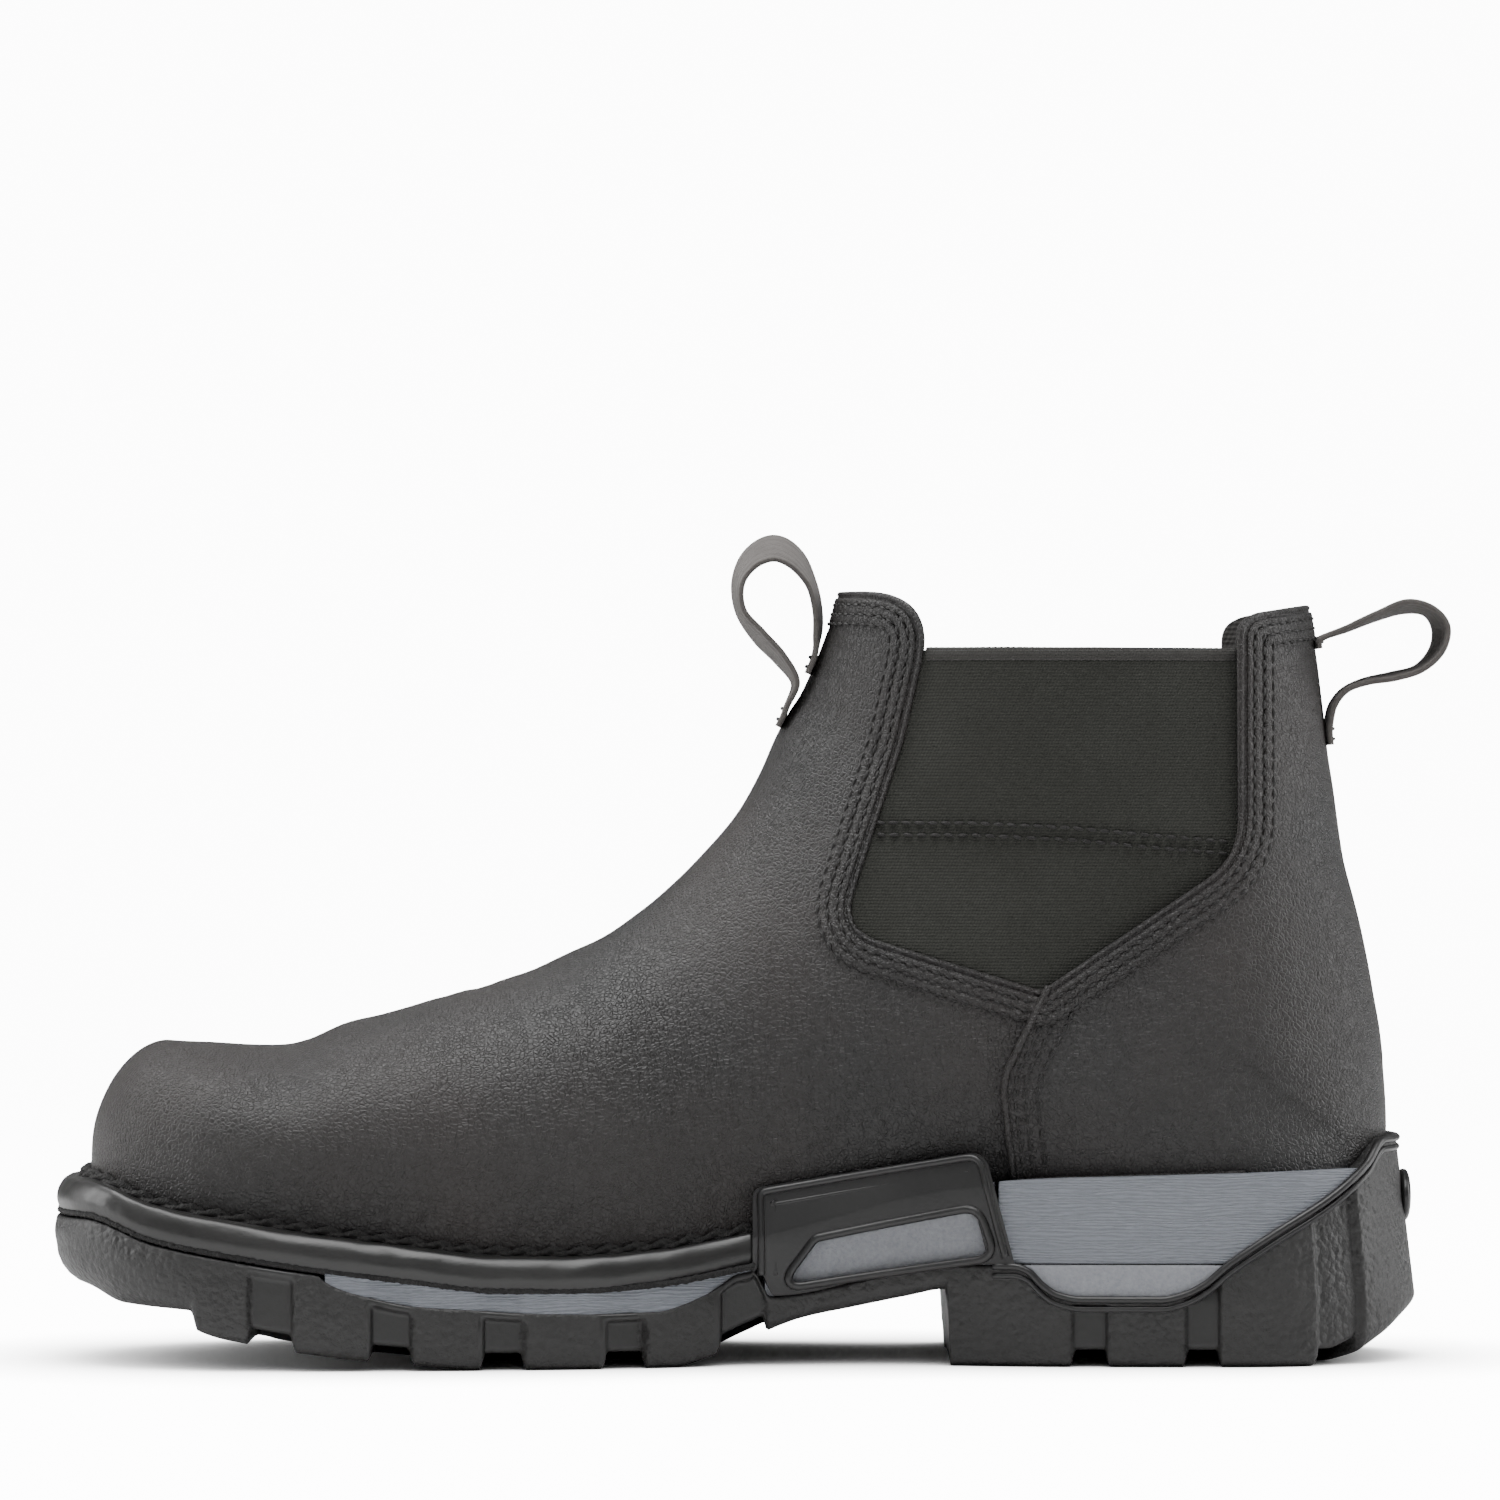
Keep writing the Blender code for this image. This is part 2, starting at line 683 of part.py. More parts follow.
def stacked_form(name, levels, collection):
    """Closed form from loops round the rim, bottom first. A level is (outward, height)."""
    stations = rim()
    count = len(stations)
    half = count // 2
    mesh = bmesh.new()
    loops = []
    for outward, height in levels:
        loops.append([mesh.verts.new(rim_point(s, outward(s[0]), height)) for s in stations])
    for lower, upper in zip(loops, loops[1:]):
        for i in range(count):
            j = (i + 1) % count
            mesh.faces.new((lower[j], lower[i], upper[i], upper[j]))
    for loop, flip in ((loops[0], False), (loops[-1], True)):
        for i in range(half):
            corners = [loop[i], loop[i + 1], loop[count - i - 1], loop[(count - i) % count]]
            unique = []
            for corner in corners:
                if corner not in unique:
                    unique.append(corner)
            mesh.faces.new(list(reversed(unique)) if flip else unique)
    bmesh.ops.triangulate(mesh, faces=mesh.faces)
    bmesh.ops.recalc_face_normals(mesh, faces=mesh.faces)
    return new_object(name, mesh, collection)


def rounded_outline(corners):
    """Outline with an arc at each corner, from rows of x, z and radius in metres."""
    points = []
    for i, (x, z, radius) in enumerate(corners):
        here = Vector((x, z))
        back = Vector(corners[i - 1][:2]) - here
        ahead = Vector(corners[(i + 1) % len(corners)][:2]) - here
        if radius <= 0.0:
            points.append(here)
            continue
        half_angle = 0.5 * back.angle(ahead)
        reach = radius / math.tan(half_angle)
        reach = min(reach, 0.48 * back.length, 0.48 * ahead.length)
        start = here + back.normalized() * reach
        end = here + ahead.normalized() * reach
        for step in range(CORNER_STEPS + 1):
            t = step / CORNER_STEPS
            points.append(start.lerp(here, t).lerp(here.lerp(end, t), t))
    return points


def moved_outline(points, outward):
    """The same outline with each of its sides moved outward."""
    area = sum(a.x * b.y - b.x * a.y for a, b in zip(points, points[1:] + points[:1]))
    turn = 1.0 if area > 0.0 else -1.0
    moved = []
    for i, here in enumerate(points):
        before = (here - points[i - 1]).normalized()
        after = (points[(i + 1) % len(points)] - here).normalized()
        first = Vector((before.y, -before.x)) * turn
        second = Vector((after.y, -after.x)) * turn
        bisector = (first + second).normalized()
        moved.append(here + bisector * outward / max(0.4, bisector.dot(first)))
    return moved


def upper_outline(corners):
    """Side outline of the upper's cuts, in metres."""
    rows = [
        (along_last(x), SEAT_HEIGHT + z * UPPER_HEIGHT, radius * UPPER_HEIGHT)
        for x, z, radius in corners
    ]
    return rounded_outline(rows)


def sole_outline(corners):
    """Side outline on the sole, in metres."""
    rows = [(along_last(x), z * SEAT_HEIGHT, radius * SEAT_HEIGHT) for x, z, radius in corners]
    return rounded_outline(rows)


def prism(name, outline, near, far, collection):
    """Solid of a side outline between two places across the boot."""
    mesh = bmesh.new()
    base = mesh.faces.new([mesh.verts.new((p.x, near, p.y)) for p in outline])
    swept = bmesh.ops.extrude_face_region(mesh, geom=[base])
    moved = [item for item in swept["geom"] if isinstance(item, bmesh.types.BMVert)]
    bmesh.ops.translate(mesh, vec=(0.0, far - near, 0.0), verts=moved)
    bmesh.ops.recalc_face_normals(mesh, faces=mesh.faces)
    return new_object(name, mesh, collection)


def cut(thing, tool, operation="DIFFERENCE"):
    """Boolean modifier with one tool."""
    modifier = thing.modifiers.new(f"{operation.lower()} {tool.name}", "BOOLEAN")
    modifier.operation = operation
    modifier.object = tool
    modifier.solver = "EXACT"


def cut_all(thing, tools):
    """Boolean difference with every object of a collection."""
    modifier = thing.modifiers.new(f"cut {tools.name}", "BOOLEAN")
    modifier.operation = "DIFFERENCE"
    modifier.operand_type = "COLLECTION"
    modifier.collection = tools
    modifier.solver = "EXACT"


def finish(thing, colour, roughness, sharp=38.0):
    """Smooth shading and the piece's own material."""
    material = bpy.data.materials.new(thing.name)
    material.use_nodes = True
    shader = material.node_tree.nodes["Principled BSDF"]
    shader.inputs["Base Color"].default_value = (*colour, 1.0)
    shader.inputs["Roughness"].default_value = roughness
    thing.data.materials.append(material)
    thing.data.shade_smooth()
    thing.data.set_sharp_from_angle(angle=math.radians(sharp))


def tool_collection(name):
    """Collection for cutters, hidden from the result."""
    collection = bpy.data.collections.new(name)
    bpy.context.scene.collection.children.link(collection)
    return collection


def hide_tools(collection):
    """Mark every cutter."""
    for tool in collection.objects:
        tool.hide_render = True
        tool.display_type = "WIRE"


def outsole_levels(grow):
    """Loops of the outsole's form, grown all round by a distance."""

    def bottom_out(share):
        return edge_width(share) - edge_bevel(share) + grow

    def bottom(share):
        return underside(share) - grow

    def side_out(share):
        return edge_width(share) + grow

    def side(share):
        return underside(share) + edge_bevel(share)

    def top_out(share):
        return edge_width(share) - heel_lean(share, outsole_edge(share)) + grow

    def top(share):
        return outsole_edge(share) + grow

    return [(bottom_out, bottom), (side_out, side), (top_out, top)]


def midsole_levels():
    """Loops of the midsole's form. In front it has a ledge for the welt round a platform."""

    def wall_out(share, height):
        return edge_width(share) - heel_lean(share, height) - MIDSOLE_RECESS

    def platform(share):
        return WELT_SECTION[0][0] * edge_width(share) - GAP

    def foot(share):
        below = min(outsole_edge(share), feather_height(share)) - WELT_HEIGHT
        return max(below, underside(share) + EDGE_BEVEL + 2.0 * GAP)

    def top(share):
        return feather_height(share) - GAP

    def ledge(share):
        return top(share) - (WELT_HEIGHT if share > LEDGE_START else LEDGE_DROP)

    def platform_foot(share):
        return ledge(share) if share > LEDGE_START else top(share) - LEDGE_STEP

    def foot_out(share):
        return platform(share) if share > STRIP_END else wall_out(share, foot(share))

    def ledge_out(share):
        return platform(share) if share > STRIP_END else wall_out(share, ledge(share))

    def platform_out(share):
        return platform(share) if share > LEDGE_START else wall_out(share, platform_foot(share))

    def top_out(share):
        return platform(share) if share > LEDGE_START else wall_out(share, top(share))

    return [(foot_out, foot), (ledge_out, ledge), (platform_out, platform_foot), (top_out, top)]


def frame_outer_levels(grow):
    """Loops of the arch frame's outer form."""

    def wall_out(share):
        return edge_width(share) + FRAME_PROUD + grow

    def lip_out(share):
        return edge_width(share) + FRAME_PROUD - FRAME_LEAN + grow

    def floor(share):
        return min(outsole_edge(share) + GAP, feather_height(share) - WELT_HEIGHT) - 8.0 * grow

    def lip(share):
        return feather_height(share) + FRAME_LAP

    return [(wall_out, floor), (wall_out, feather_height), (lip_out, lip)]


def frame_inner_levels(grow):
    """Loops of the space that the arch frame wraps."""

    def out(share):
        return edge_width(share) + FRAME_PROUD - FRAME_WALL - grow

    def foot(share):
        return outsole_edge(share) + GAP + FRAME_PLATE + grow

    return [(out, foot), (out, feather_height)]


def insole_levels():
    """Loops of the insole."""

    def out(share):
        return -UPPER_WALL - INSOLE_ROOM

    def top(share):
        return feather_height(share) + INSOLE_THICKNESS

    return [(out, feather_height), (out, top)]


def welt_form(name, collection):
    """The bead round the forepart, from the frame on one side to the frame on the other."""
    stations = [s for s in rim() if s[0] > WELT_START - 0.02]
    mesh = bmesh.new()
    rings = []
    for station in stations:
        edge = edge_width(station[0])
        ring = []
        for out, up in WELT_SECTION:

            def height(share, lift=up * WELT_HEIGHT):
                return feather_height(min(share, 1.0)) + lift

            ring.append(mesh.verts.new(rim_point(station, out * edge, height)))
        rings.append(ring)
    count = len(WELT_SECTION)
    for before, after in zip(rings, rings[1:]):
        for i in range(count):
            j = (i + 1) % count
            mesh.faces.new((before[i], before[j], after[j], after[i]))
    mesh.faces.new(rings[0])
    mesh.faces.new(list(reversed(rings[-1])))
    bmesh.ops.recalc_face_normals(mesh, faces=mesh.faces)
    front = along_last(FRAME_AREA[0][0]) + GAP
    geometry = mesh.verts[:] + mesh.edges[:] + mesh.faces[:]
    bmesh.ops.bisect_plane(
        mesh, geom=geometry, plane_co=(front, 0.0, 0.0), plane_no=(1.0, 0.0, 0.0), clear_inner=True
    )
    bmesh.ops.holes_fill(mesh, edges=[e for e in mesh.edges if e.is_boundary], sides=0)
    bmesh.ops.recalc_face_normals(mesh, faces=mesh.faces)
    return new_object(name, mesh, collection)


def groove_box(name, centre, direction, size, heights, collection):
    """Upright box. centre: in plan. direction: its length's. size: length, width."""
    mesh = bmesh.new()
    bmesh.ops.create_cube(mesh, size=1.0)
    length, width = size
    low, high = heights
    bmesh.ops.scale(mesh, vec=(length, width, high - low), verts=mesh.verts)
    box = new_object(name, mesh, collection)
    box.location = (centre.x, centre.y, 0.5 * (low + high))
    box.rotation_euler = (0.0, 0.0, math.atan2(direction.y, direction.x))
    return box


def add_channel_tools(side_tools, tread_tools):
    """Side channels, the grooves that they run into, and short grooves between them."""
    reach = TOOL_REACH
    for number, (share, width) in enumerate(CHANNELS):
        for side, word in ((1.0, "inner"), (-1.0, "outer")):
            half = plan_half(share) * heel_round(share)
            step = RIM_STEP
            near = plan_half(share - step) * heel_round(share - step) * side + plan_centre(share - step)
            far = plan_half(share + step) * heel_round(share + step) * side + plan_centre(share + step)
            along = Vector((2.0 * step * LAST_LENGTH, far - near)).normalized()
            outward = Vector((-along.y, along.x)) * side
            place = Vector((along_last(share), plan_centre(share) + side * half))
            rim_place = place + outward * edge_width(share)
            breadth = width * CHANNEL_WIDTH
            top = outsole_edge(share) - CHANNEL_TOP
            middle = rim_place + outward * 0.5 * (reach - CHANNEL_DEPTH)
            size = (reach + CHANNEL_DEPTH, breadth)
            name = f"{word} channel {number}"
            groove_box(name, middle, outward, size, (-TOOL_DEPTH, top), side_tools)
            ceiling = underside(share_of(rim_place.x)) + LUG_DEPTH
            middle = rim_place + outward * 0.5 * (reach - GROOVE_LENGTH)
            size = (reach + GROOVE_LENGTH, breadth - 2.0 * GAP)
            name = f"{word} groove {number}"
            groove_box(name, middle, outward, size, (-TOOL_DEPTH, ceiling), tread_tools)
    across = Vector((0.0, 1.0))
    forepart = [row[0] for row in CHANNELS if row[0] > WELT_START]
    for number, (ahead, behind) in enumerate(zip(forepart, forepart[1:])):
        share = 0.5 * (ahead + behind)
        place = Vector((along_last(share), plan_centre(share)))
        size = (CENTRE_GROOVE_LENGTH, CENTRE_GROOVE_WIDTH)
        ceiling = underside(share) + LUG_DEPTH
        name = f"centre groove {number}"
        groove_box(name, place, across, size, (-TOOL_DEPTH, ceiling), tread_tools)


def path_point(points, place):
    """Point on a smooth path through a list of vectors."""
    index = min(int(place), len(points) - 2)
    t = place - index
    before = points[max(index - 1, 0)]
    start, end = points[index], points[index + 1]
    after = points[min(index + 2, len(points) - 1)]
    lead = (end - before) * 0.5
    trail = (after - start) * 0.5
    h1 = (2.0 * t - 3.0) * t * t + 1.0
    h2 = ((t - 2.0) * t + 1.0) * t
    h3 = (3.0 - 2.0 * t) * t * t
    h4 = (t - 1.0) * t * t
    return start * h1 + lead * h2 + end * h3 + trail * h4


def pull_loop(name, rows, seat, facing, collection):
    """Webbing loop as a flat strip along a path. facing: +1 at the front and -1 at the back."""
    seat_share, seat_rise = seat
    seat_height = feather_height(seat_share) + seat_rise * UPPER_HEIGHT
    start = Vector((along_last(seat_share), 0.0, seat_height))
    points = [
        start + Vector((facing * out * LOOP_REACH, 0.0, up * LOOP_REACH)) for out, up, _ in rows
    ]
    twists = [Vector((math.radians(row[2]), 0.0, 0.0)) for row in rows]
    mesh = bmesh.new()
    rings = []
    span = len(points) - 1
    for step in range(LOOP_STEPS + 1):
        place = span * step / LOOP_STEPS
        here = path_point(points, place)
        ahead = path_point(points, min(place + 0.05, span)) - path_point(points, max(place - 0.05, 0.0))
        ahead.normalize()
        twist = path_point(twists, place).x
        across = Vector((0.0, 1.0, 0.0))
        normal = ahead.cross(across)
        turned = across * math.cos(twist) + normal * math.sin(twist)
        face = ahead.cross(turned).normalized()
        wide, thick = turned * 0.5 * WEBBING_WIDTH, face * 0.5 * WEBBING_THICKNESS
        corners = (here + wide + thick, here - wide + thick, here - wide - thick, here + wide - thick)
        rings.append([mesh.verts.new(corner) for corner in corners])
    for before, after in zip(rings, rings[1:]):
        for i in range(4):
            j = (i + 1) % 4
            mesh.faces.new((before[i], before[j], after[j], after[i]))
    mesh.faces.new(rings[0])
    mesh.faces.new(list(reversed(rings[-1])))
    bmesh.ops.recalc_face_normals(mesh, faces=mesh.faces)
    return new_object(name, mesh, collection)


def heel_boss(name, collection):
    """Form of the raised oval on the back of the heel cup."""
    mesh = bmesh.new()
    bmesh.ops.create_uvsphere(mesh, u_segments=20, v_segments=10, radius=0.5)
    bmesh.ops.scale(mesh, vec=(4.0 * BOSS_PROUD, BOSS_WIDTH, BOSS_HEIGHT), verts=mesh.verts)
    back = along_last(0.0) - HEEL_EDGE + heel_lean(0.0, BOSS_MIDDLE)
    bmesh.ops.translate(mesh, vec=(back + BOSS_PROUD, 0.0, BOSS_MIDDLE), verts=mesh.verts)
    return new_object(name, mesh, collection)


def build():
    """Make every piece."""
    for thing in list(bpy.data.objects):
        bpy.data.objects.remove(thing)
    parts = bpy.data.collections.new("side_gore_work_boot")
    bpy.context.scene.collection.children.link(parts)
    tools = tool_collection("cutters")
    side_tools = tool_collection("side channels")
    tread_tools = tool_collection("tread grooves")

    across = TOOL_ACROSS
    collar = upper_outline(COLLAR_CUT)
    collar_tool = prism("collar cut", collar, -across, across, tools)
    collar_room = prism("collar room", moved_outline(collar, GAP), -across, across, tools)
    quarter_tool = prism("quarter area", upper_outline(QUARTER_AREA), -across, across, tools)

    upper = last_shell("upper", -UPPER_WALL, 0.0, parts)
    cut(upper, collar_tool)
    finish(upper, (0.035, 0.033, 0.031), 0.45)

    quarter = last_shell("heel_quarter", GAP, GAP + QUARTER_THICKNESS, parts)
    cut(quarter, quarter_tool, "INTERSECT")
    cut(quarter, collar_room)
    finish(quarter, (0.037, 0.034, 0.031), 0.45)

    gore_outline = moved_outline(collar, -GAP)
    top = SEAT_HEIGHT + GORE_TOP
    lid = prism(
        "above the elastic",
        [Vector((-0.1, top)), Vector((0.2, top)), Vector((0.2, 0.3)), Vector((-0.1, 0.3))],
        -across,
        across,
        tools,
    )
    for name, near, far in (("gore_medial", 0.0, across), ("gore_lateral", -across, 0.0)):
        area = prism(f"{name} area", gore_outline, near, far, tools)
        gore = last_shell(name, -GORE_RECESS - GORE_THICKNESS, -GORE_RECESS, parts)
        cut(gore, area, "INTERSECT")
        cut(gore, lid)
        finish(gore, (0.028, 0.030, 0.026), 0.85)

    last_room = last_block("last room", GAP, tools)
    cup_room = last_block("cup room", QUARTER_THICKNESS + 2.0 * GAP, tools)

    outsole = stacked_form("outsole", outsole_levels(0.0), parts)
    cut(outsole, cup_room)
    cut(outsole, heel_boss("heel boss", tools), "UNION")
    add_channel_tools(side_tools, tread_tools)
    cut_all(outsole, side_tools)
    cut_all(outsole, tread_tools)
    finish(outsole, (0.040, 0.039, 0.038), 0.70, sharp=25.0)

    outsole_room = stacked_form("outsole room", outsole_levels(GAP), tools)
    welt = welt_form("welt", parts)
    finish(welt, (0.045, 0.043, 0.041), 0.50)

    frame_area = sole_outline(FRAME_AREA)
    frame_tool = prism("frame area", frame_area, -across, across, tools)
    window_tool = prism("window area", sole_outline(WINDOW_AREA), -across, across, tools)
    frame_inside = stacked_form("frame inside", frame_inner_levels(0.0), tools)
    frame = stacked_form("arch_frame", frame_outer_levels(0.0), parts)
    cut(frame, frame_tool, "INTERSECT")
    cut(frame, frame_inside)
    cut(frame, last_room)
    cut(frame, window_tool)
    finish(frame, (0.036, 0.036, 0.036), 0.45, sharp=25.0)

    frame_room = stacked_form("frame room", frame_outer_levels(GAP), tools)
    room_area = prism("frame room area", moved_outline(frame_area, GAP), -across, across, tools)
    room_inside = stacked_form("frame room inside", frame_inner_levels(GAP), tools)
    cut(frame_room, room_area, "INTERSECT")
    cut(frame_room, room_inside)

    midsole = stacked_form("midsole", midsole_levels(), parts)
    cut(midsole, outsole_room)
    cut(midsole, frame_room)
    finish(midsole, (0.225, 0.245, 0.290), 0.70, sharp=25.0)

    insole = stacked_form("insole", insole_levels(), parts)
    finish(insole, (0.060, 0.058, 0.055), 0.85)

    loops = (
        ("pull_loop_front", FRONT_LOOP, FRONT_LOOP_SEAT, 1.0),
        ("pull_loop_rear", REAR_LOOP, REAR_LOOP_SEAT, -1.0),
    )
    for name, rows, seat, facing in loops:
        finish(pull_loop(name, rows, seat, facing, parts), (0.090, 0.083, 0.078), 0.90)

    for collection in (tools, side_tools, tread_tools):
        hide_tools(collection)


build()
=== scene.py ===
"""Side gore work boot, right foot: its finished surfaces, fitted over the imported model.

Metres, +Z up. The toe points along +X and the inner side of the foot is +Y.
"""

import bisect
import functools
import logging
import math
from dataclasses import dataclass, field
from enum import Enum
from typing import Callable, Sequence

import bmesh
import bpy
from mathutils import Matrix, Vector, noise
from mathutils.bvhtree import BVHTree
from mathutils.kdtree import KDTree


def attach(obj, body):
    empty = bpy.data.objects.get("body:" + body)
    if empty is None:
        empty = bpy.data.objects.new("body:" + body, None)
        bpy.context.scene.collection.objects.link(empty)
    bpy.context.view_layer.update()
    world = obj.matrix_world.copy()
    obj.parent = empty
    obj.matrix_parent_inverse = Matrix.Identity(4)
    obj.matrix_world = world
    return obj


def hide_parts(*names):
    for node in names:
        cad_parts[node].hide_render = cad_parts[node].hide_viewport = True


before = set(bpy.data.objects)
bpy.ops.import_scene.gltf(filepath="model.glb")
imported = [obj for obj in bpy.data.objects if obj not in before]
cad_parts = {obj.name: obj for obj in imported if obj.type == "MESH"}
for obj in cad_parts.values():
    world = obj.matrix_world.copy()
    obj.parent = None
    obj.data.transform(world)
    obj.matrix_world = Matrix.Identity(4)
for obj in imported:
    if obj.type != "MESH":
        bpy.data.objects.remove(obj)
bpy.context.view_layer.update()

LOG = logging.getLogger("work_boot")

# How far the solids that cut reach to either side, more than the boot's half width.
ACROSS = 0.100

Form = bmesh.types.BMesh
Piece = bpy.types.Object
Pair = tuple[float, float]
Sockets = tuple[bpy.types.NodeSocket, bpy.types.NodeSocket]
Rows = Sequence[Sequence[float]]

# Feather line and last plan. share: along the last from its back. seat, toe: how much of the
# seat's rise over the ball, and of the toe spring. centre, half: shares of the ball's half width.
PLAN = [
    # share, seat, toe, centre, half
    (0.0, 1.0, 0.0, 0.0, 0.68),
    (0.115, 0.965, 0.0, 0.0, 0.684),
    (0.184, 0.938, 0.0, -0.006, 0.687),
    (0.269, 0.9, 0.0, -0.036, 0.687),
    (0.341, 0.79, 0.0, -0.074, 0.69),
    (0.424, 0.487, 0.0, -0.111, 0.715),
    (0.495, 0.228, 0.0, -0.117, 0.772),
    (0.563, 0.057, 0.0, -0.1, 0.872),
    (0.629, 0.0, 0.0, -0.076, 0.948),
    (0.681, 0.0, 0.015, -0.059, 0.978),
    (0.749, 0.0, 0.16, -0.034, 1.0),
    (0.818, 0.0, 0.325, 0.004, 0.996),
    (0.886, 0.0, 0.52, 0.051, 0.968),
    (0.944, 0.0, 0.73, 0.094, 0.936),
    (1.0, 0.0, 1.06, 0.132, 0.915),
]

# Sections of the last, from the toe box to the collar. order: the section's number. top: the
# ridge point, along the last and as a rise above the feather line, a share of the upper's height.
# foot: where the section meets the feather line. back: its rise up the back seam. belly: the
# side's swell, a share of the ball's half width. level: where along the section it is widest.
# low, high: how square it is below and above that. ridge: the ridge's place across the foot.
SECTIONS = [
    # order, top, top_rise, foot, back, belly, level, low, high, ridge
    (0, 0.944, 0.283, 0.944, 0.0, 0.055, 0.36, 2.2, 2.75, 0.094),
    (1, 0.912, 0.293, 0.912, 0.0, 0.058, 0.37, 2.2, 2.75, 0.08),
    (2, 0.878, 0.301, 0.878, 0.0, 0.06, 0.38, 2.2, 2.6, 0.07),
    (3, 0.85, 0.312, 0.85, 0.0, 0.06, 0.38, 2.2, 2.45, 0.066),
    (4, 0.834, 0.326, 0.834, 0.0, 0.06, 0.38, 2.2, 2.35, 0.066),
    (5, 0.804, 0.365, 0.806, 0.0, 0.06, 0.37, 2.2, 2.25, 0.07),
    (6, 0.773, 0.391, 0.774, 0.0, 0.06, 0.36, 2.2, 2.2, 0.074),
    (7, 0.727, 0.4364, 0.724, 0.0, 0.062, 0.34, 2.2, 2.12, 0.076),
    (8, 0.665, 0.4908, 0.652, 0.0, 0.066, 0.32, 2.2, 2.06, 0.076),
    (9, 0.603, 0.55, 0.566, 0.0, 0.074, 0.3, 2.2, 2.02, 0.068),
    (10, 0.573, 0.5914, 0.496, 0.0, 0.082, 0.29, 2.2, 2.0, 0.06),
    (11, 0.542, 0.6471, 0.416, 0.0, 0.086, 0.29, 2.2, 2.0, 0.05),
    (12, 0.511, 0.71, 0.33, 0.0, 0.08, 0.3, 2.25, 2.02, 0.04),
    (13, 0.496, 0.748, 0.262, 0.0, 0.076, 0.32, 2.3, 2.06, 0.03),
    (14, 0.48, 0.805, 0.176, 0.0, 0.074, 0.34, 2.4, 2.1, 0.02),
    (15, 0.468, 0.861, 0.094, 0.0, 0.072, 0.37, 2.5, 2.14, 0.012),
    (16, 0.457, 0.899, 0.04, 0.0, 0.072, 0.39, 2.55, 2.16, 0.006),
    (17, 0.449, 0.922, 0.0, 0.0, 0.072, 0.4, 2.55, 2.18, 0.0),
    (18, 0.439, 0.965, 0.0, 0.24, 0.074, 0.42, 2.45, 2.2, 0.0),
    (19, 0.431, 1.006, 0.0, 0.48, 0.084, 0.44, 2.35, 2.22, 0.0),
    (20, 0.424, 1.042, 0.0, 0.72, 0.098, 0.46, 2.25, 2.24, 0.0),
    (21, 0.419, 1.081, 0.0, 0.93, 0.112, 0.48, 2.2, 2.25, 0.0),
    (22, 0.414, 1.128, 0.0, 1.05, 0.12, 0.49, 2.2, 2.25, 0.0),
]

# Back seam: rise above the seat as a share of the upper's height, and how far it stands forward
# of the last's back as a share of the last's length.
BACK_SEAM = [
    # rise, forward
    (0.0, 0.0), (0.046, -0.005), (0.15, -0.0024), (0.229, 0.0017), (0.307, 0.0079), (0.385, 0.0141),
    (0.464, 0.0216), (0.543, 0.0302), (0.647, 0.037), (0.726, 0.0425), (0.856, 0.048),
    (0.96, 0.055), (1.06, 0.062),
]

# Outlines seen from the side. x: share along the last. z: rise above the seat, and radius: the
# corner's round, both shares of the upper's height.
COLLAR_CUT = [
    # x, z, radius
    (0.52, 1.018, 0.0),
    (0.345, 1.006, 0.105),
    (0.371, 0.745, 0.2),
    (0.4185, 0.42, 0.07),
    (0.264, 0.313, 0.012),
    (0.113, 0.545, 0.13),
    (0.1135, 0.965, 0.045),
    (0.05, 0.988, 0.0),
    (-0.06, 0.99, 0.0),
    (-0.06, 1.4, 0.0),
    (0.52, 1.4, 0.0),
]
QUARTER_AREA = [
    (0.2815, -0.1, 0.0),
    (0.2965, 0.16, 0.12),
    (0.256, 0.345, 0.0),
    (0.19, 0.7, 0.0),
    (0.19, 1.4, 0.0),
    (-0.2, 1.4, 0.0),
    (-0.2, -0.1, 0.0),
]
# Seam across the gore, x and z in metres, and the section of the folded binding on its top: up
# and out, in metres.
GORE_SEAM = [(0.064, 0.1218), (0.039, 0.1216), (0.0175, 0.1206), (0.0, 0.119), (-0.019, 0.1174)]
BINDING_SECTION = [(0.0006, -0.0011), (0.0006, 0.0011), (-0.0024, 0.001), (-0.0024, -0.001)]

# The frame and its window. x: share along the last. z: share of the seat's height above the
# floor. radius: a share of the seat's height.
FRAME_AREA = [
    (0.486, 0.2, 0.0),
    (0.486, 0.915, 0.06),
    (0.308, 1.11, 0.1),
    (0.285, 0.525, 0.0),
    (0.285, 0.2, 0.0),
]
WINDOW_AREA = [
    (0.4655, 0.416, 0.045),
    (0.439, 0.645, 0.05),
    (0.312, 0.808, 0.09),
    (0.3, 0.576, 0.07),
]

# Edge of the outsole: height as a share of the seat's height, by share along the last.
OUTSOLE_EDGE = [
    (-0.031, 1.157), (-0.0165, 1.157), (0.004, 1.028), (0.036, 0.878), (0.084, 0.696),
    (0.121, 0.537), (0.14, 0.433), (0.156, 0.38), (0.173, 0.356), (0.235, 0.356), (0.253, 0.38),
    (0.265, 0.433), (0.275, 0.5), (0.286, 0.525), (0.344, 0.515), (0.472, 0.36), (0.486, 0.504),
    (0.519, 0.382), (0.54, 0.322), (0.557, 0.293), (0.609, 0.286), (0.663, 0.295), (0.692, 0.309),
    (0.744, 0.334), (0.779, 0.382), (0.797, 0.417), (0.812, 0.468), (0.86, 1.0),
]

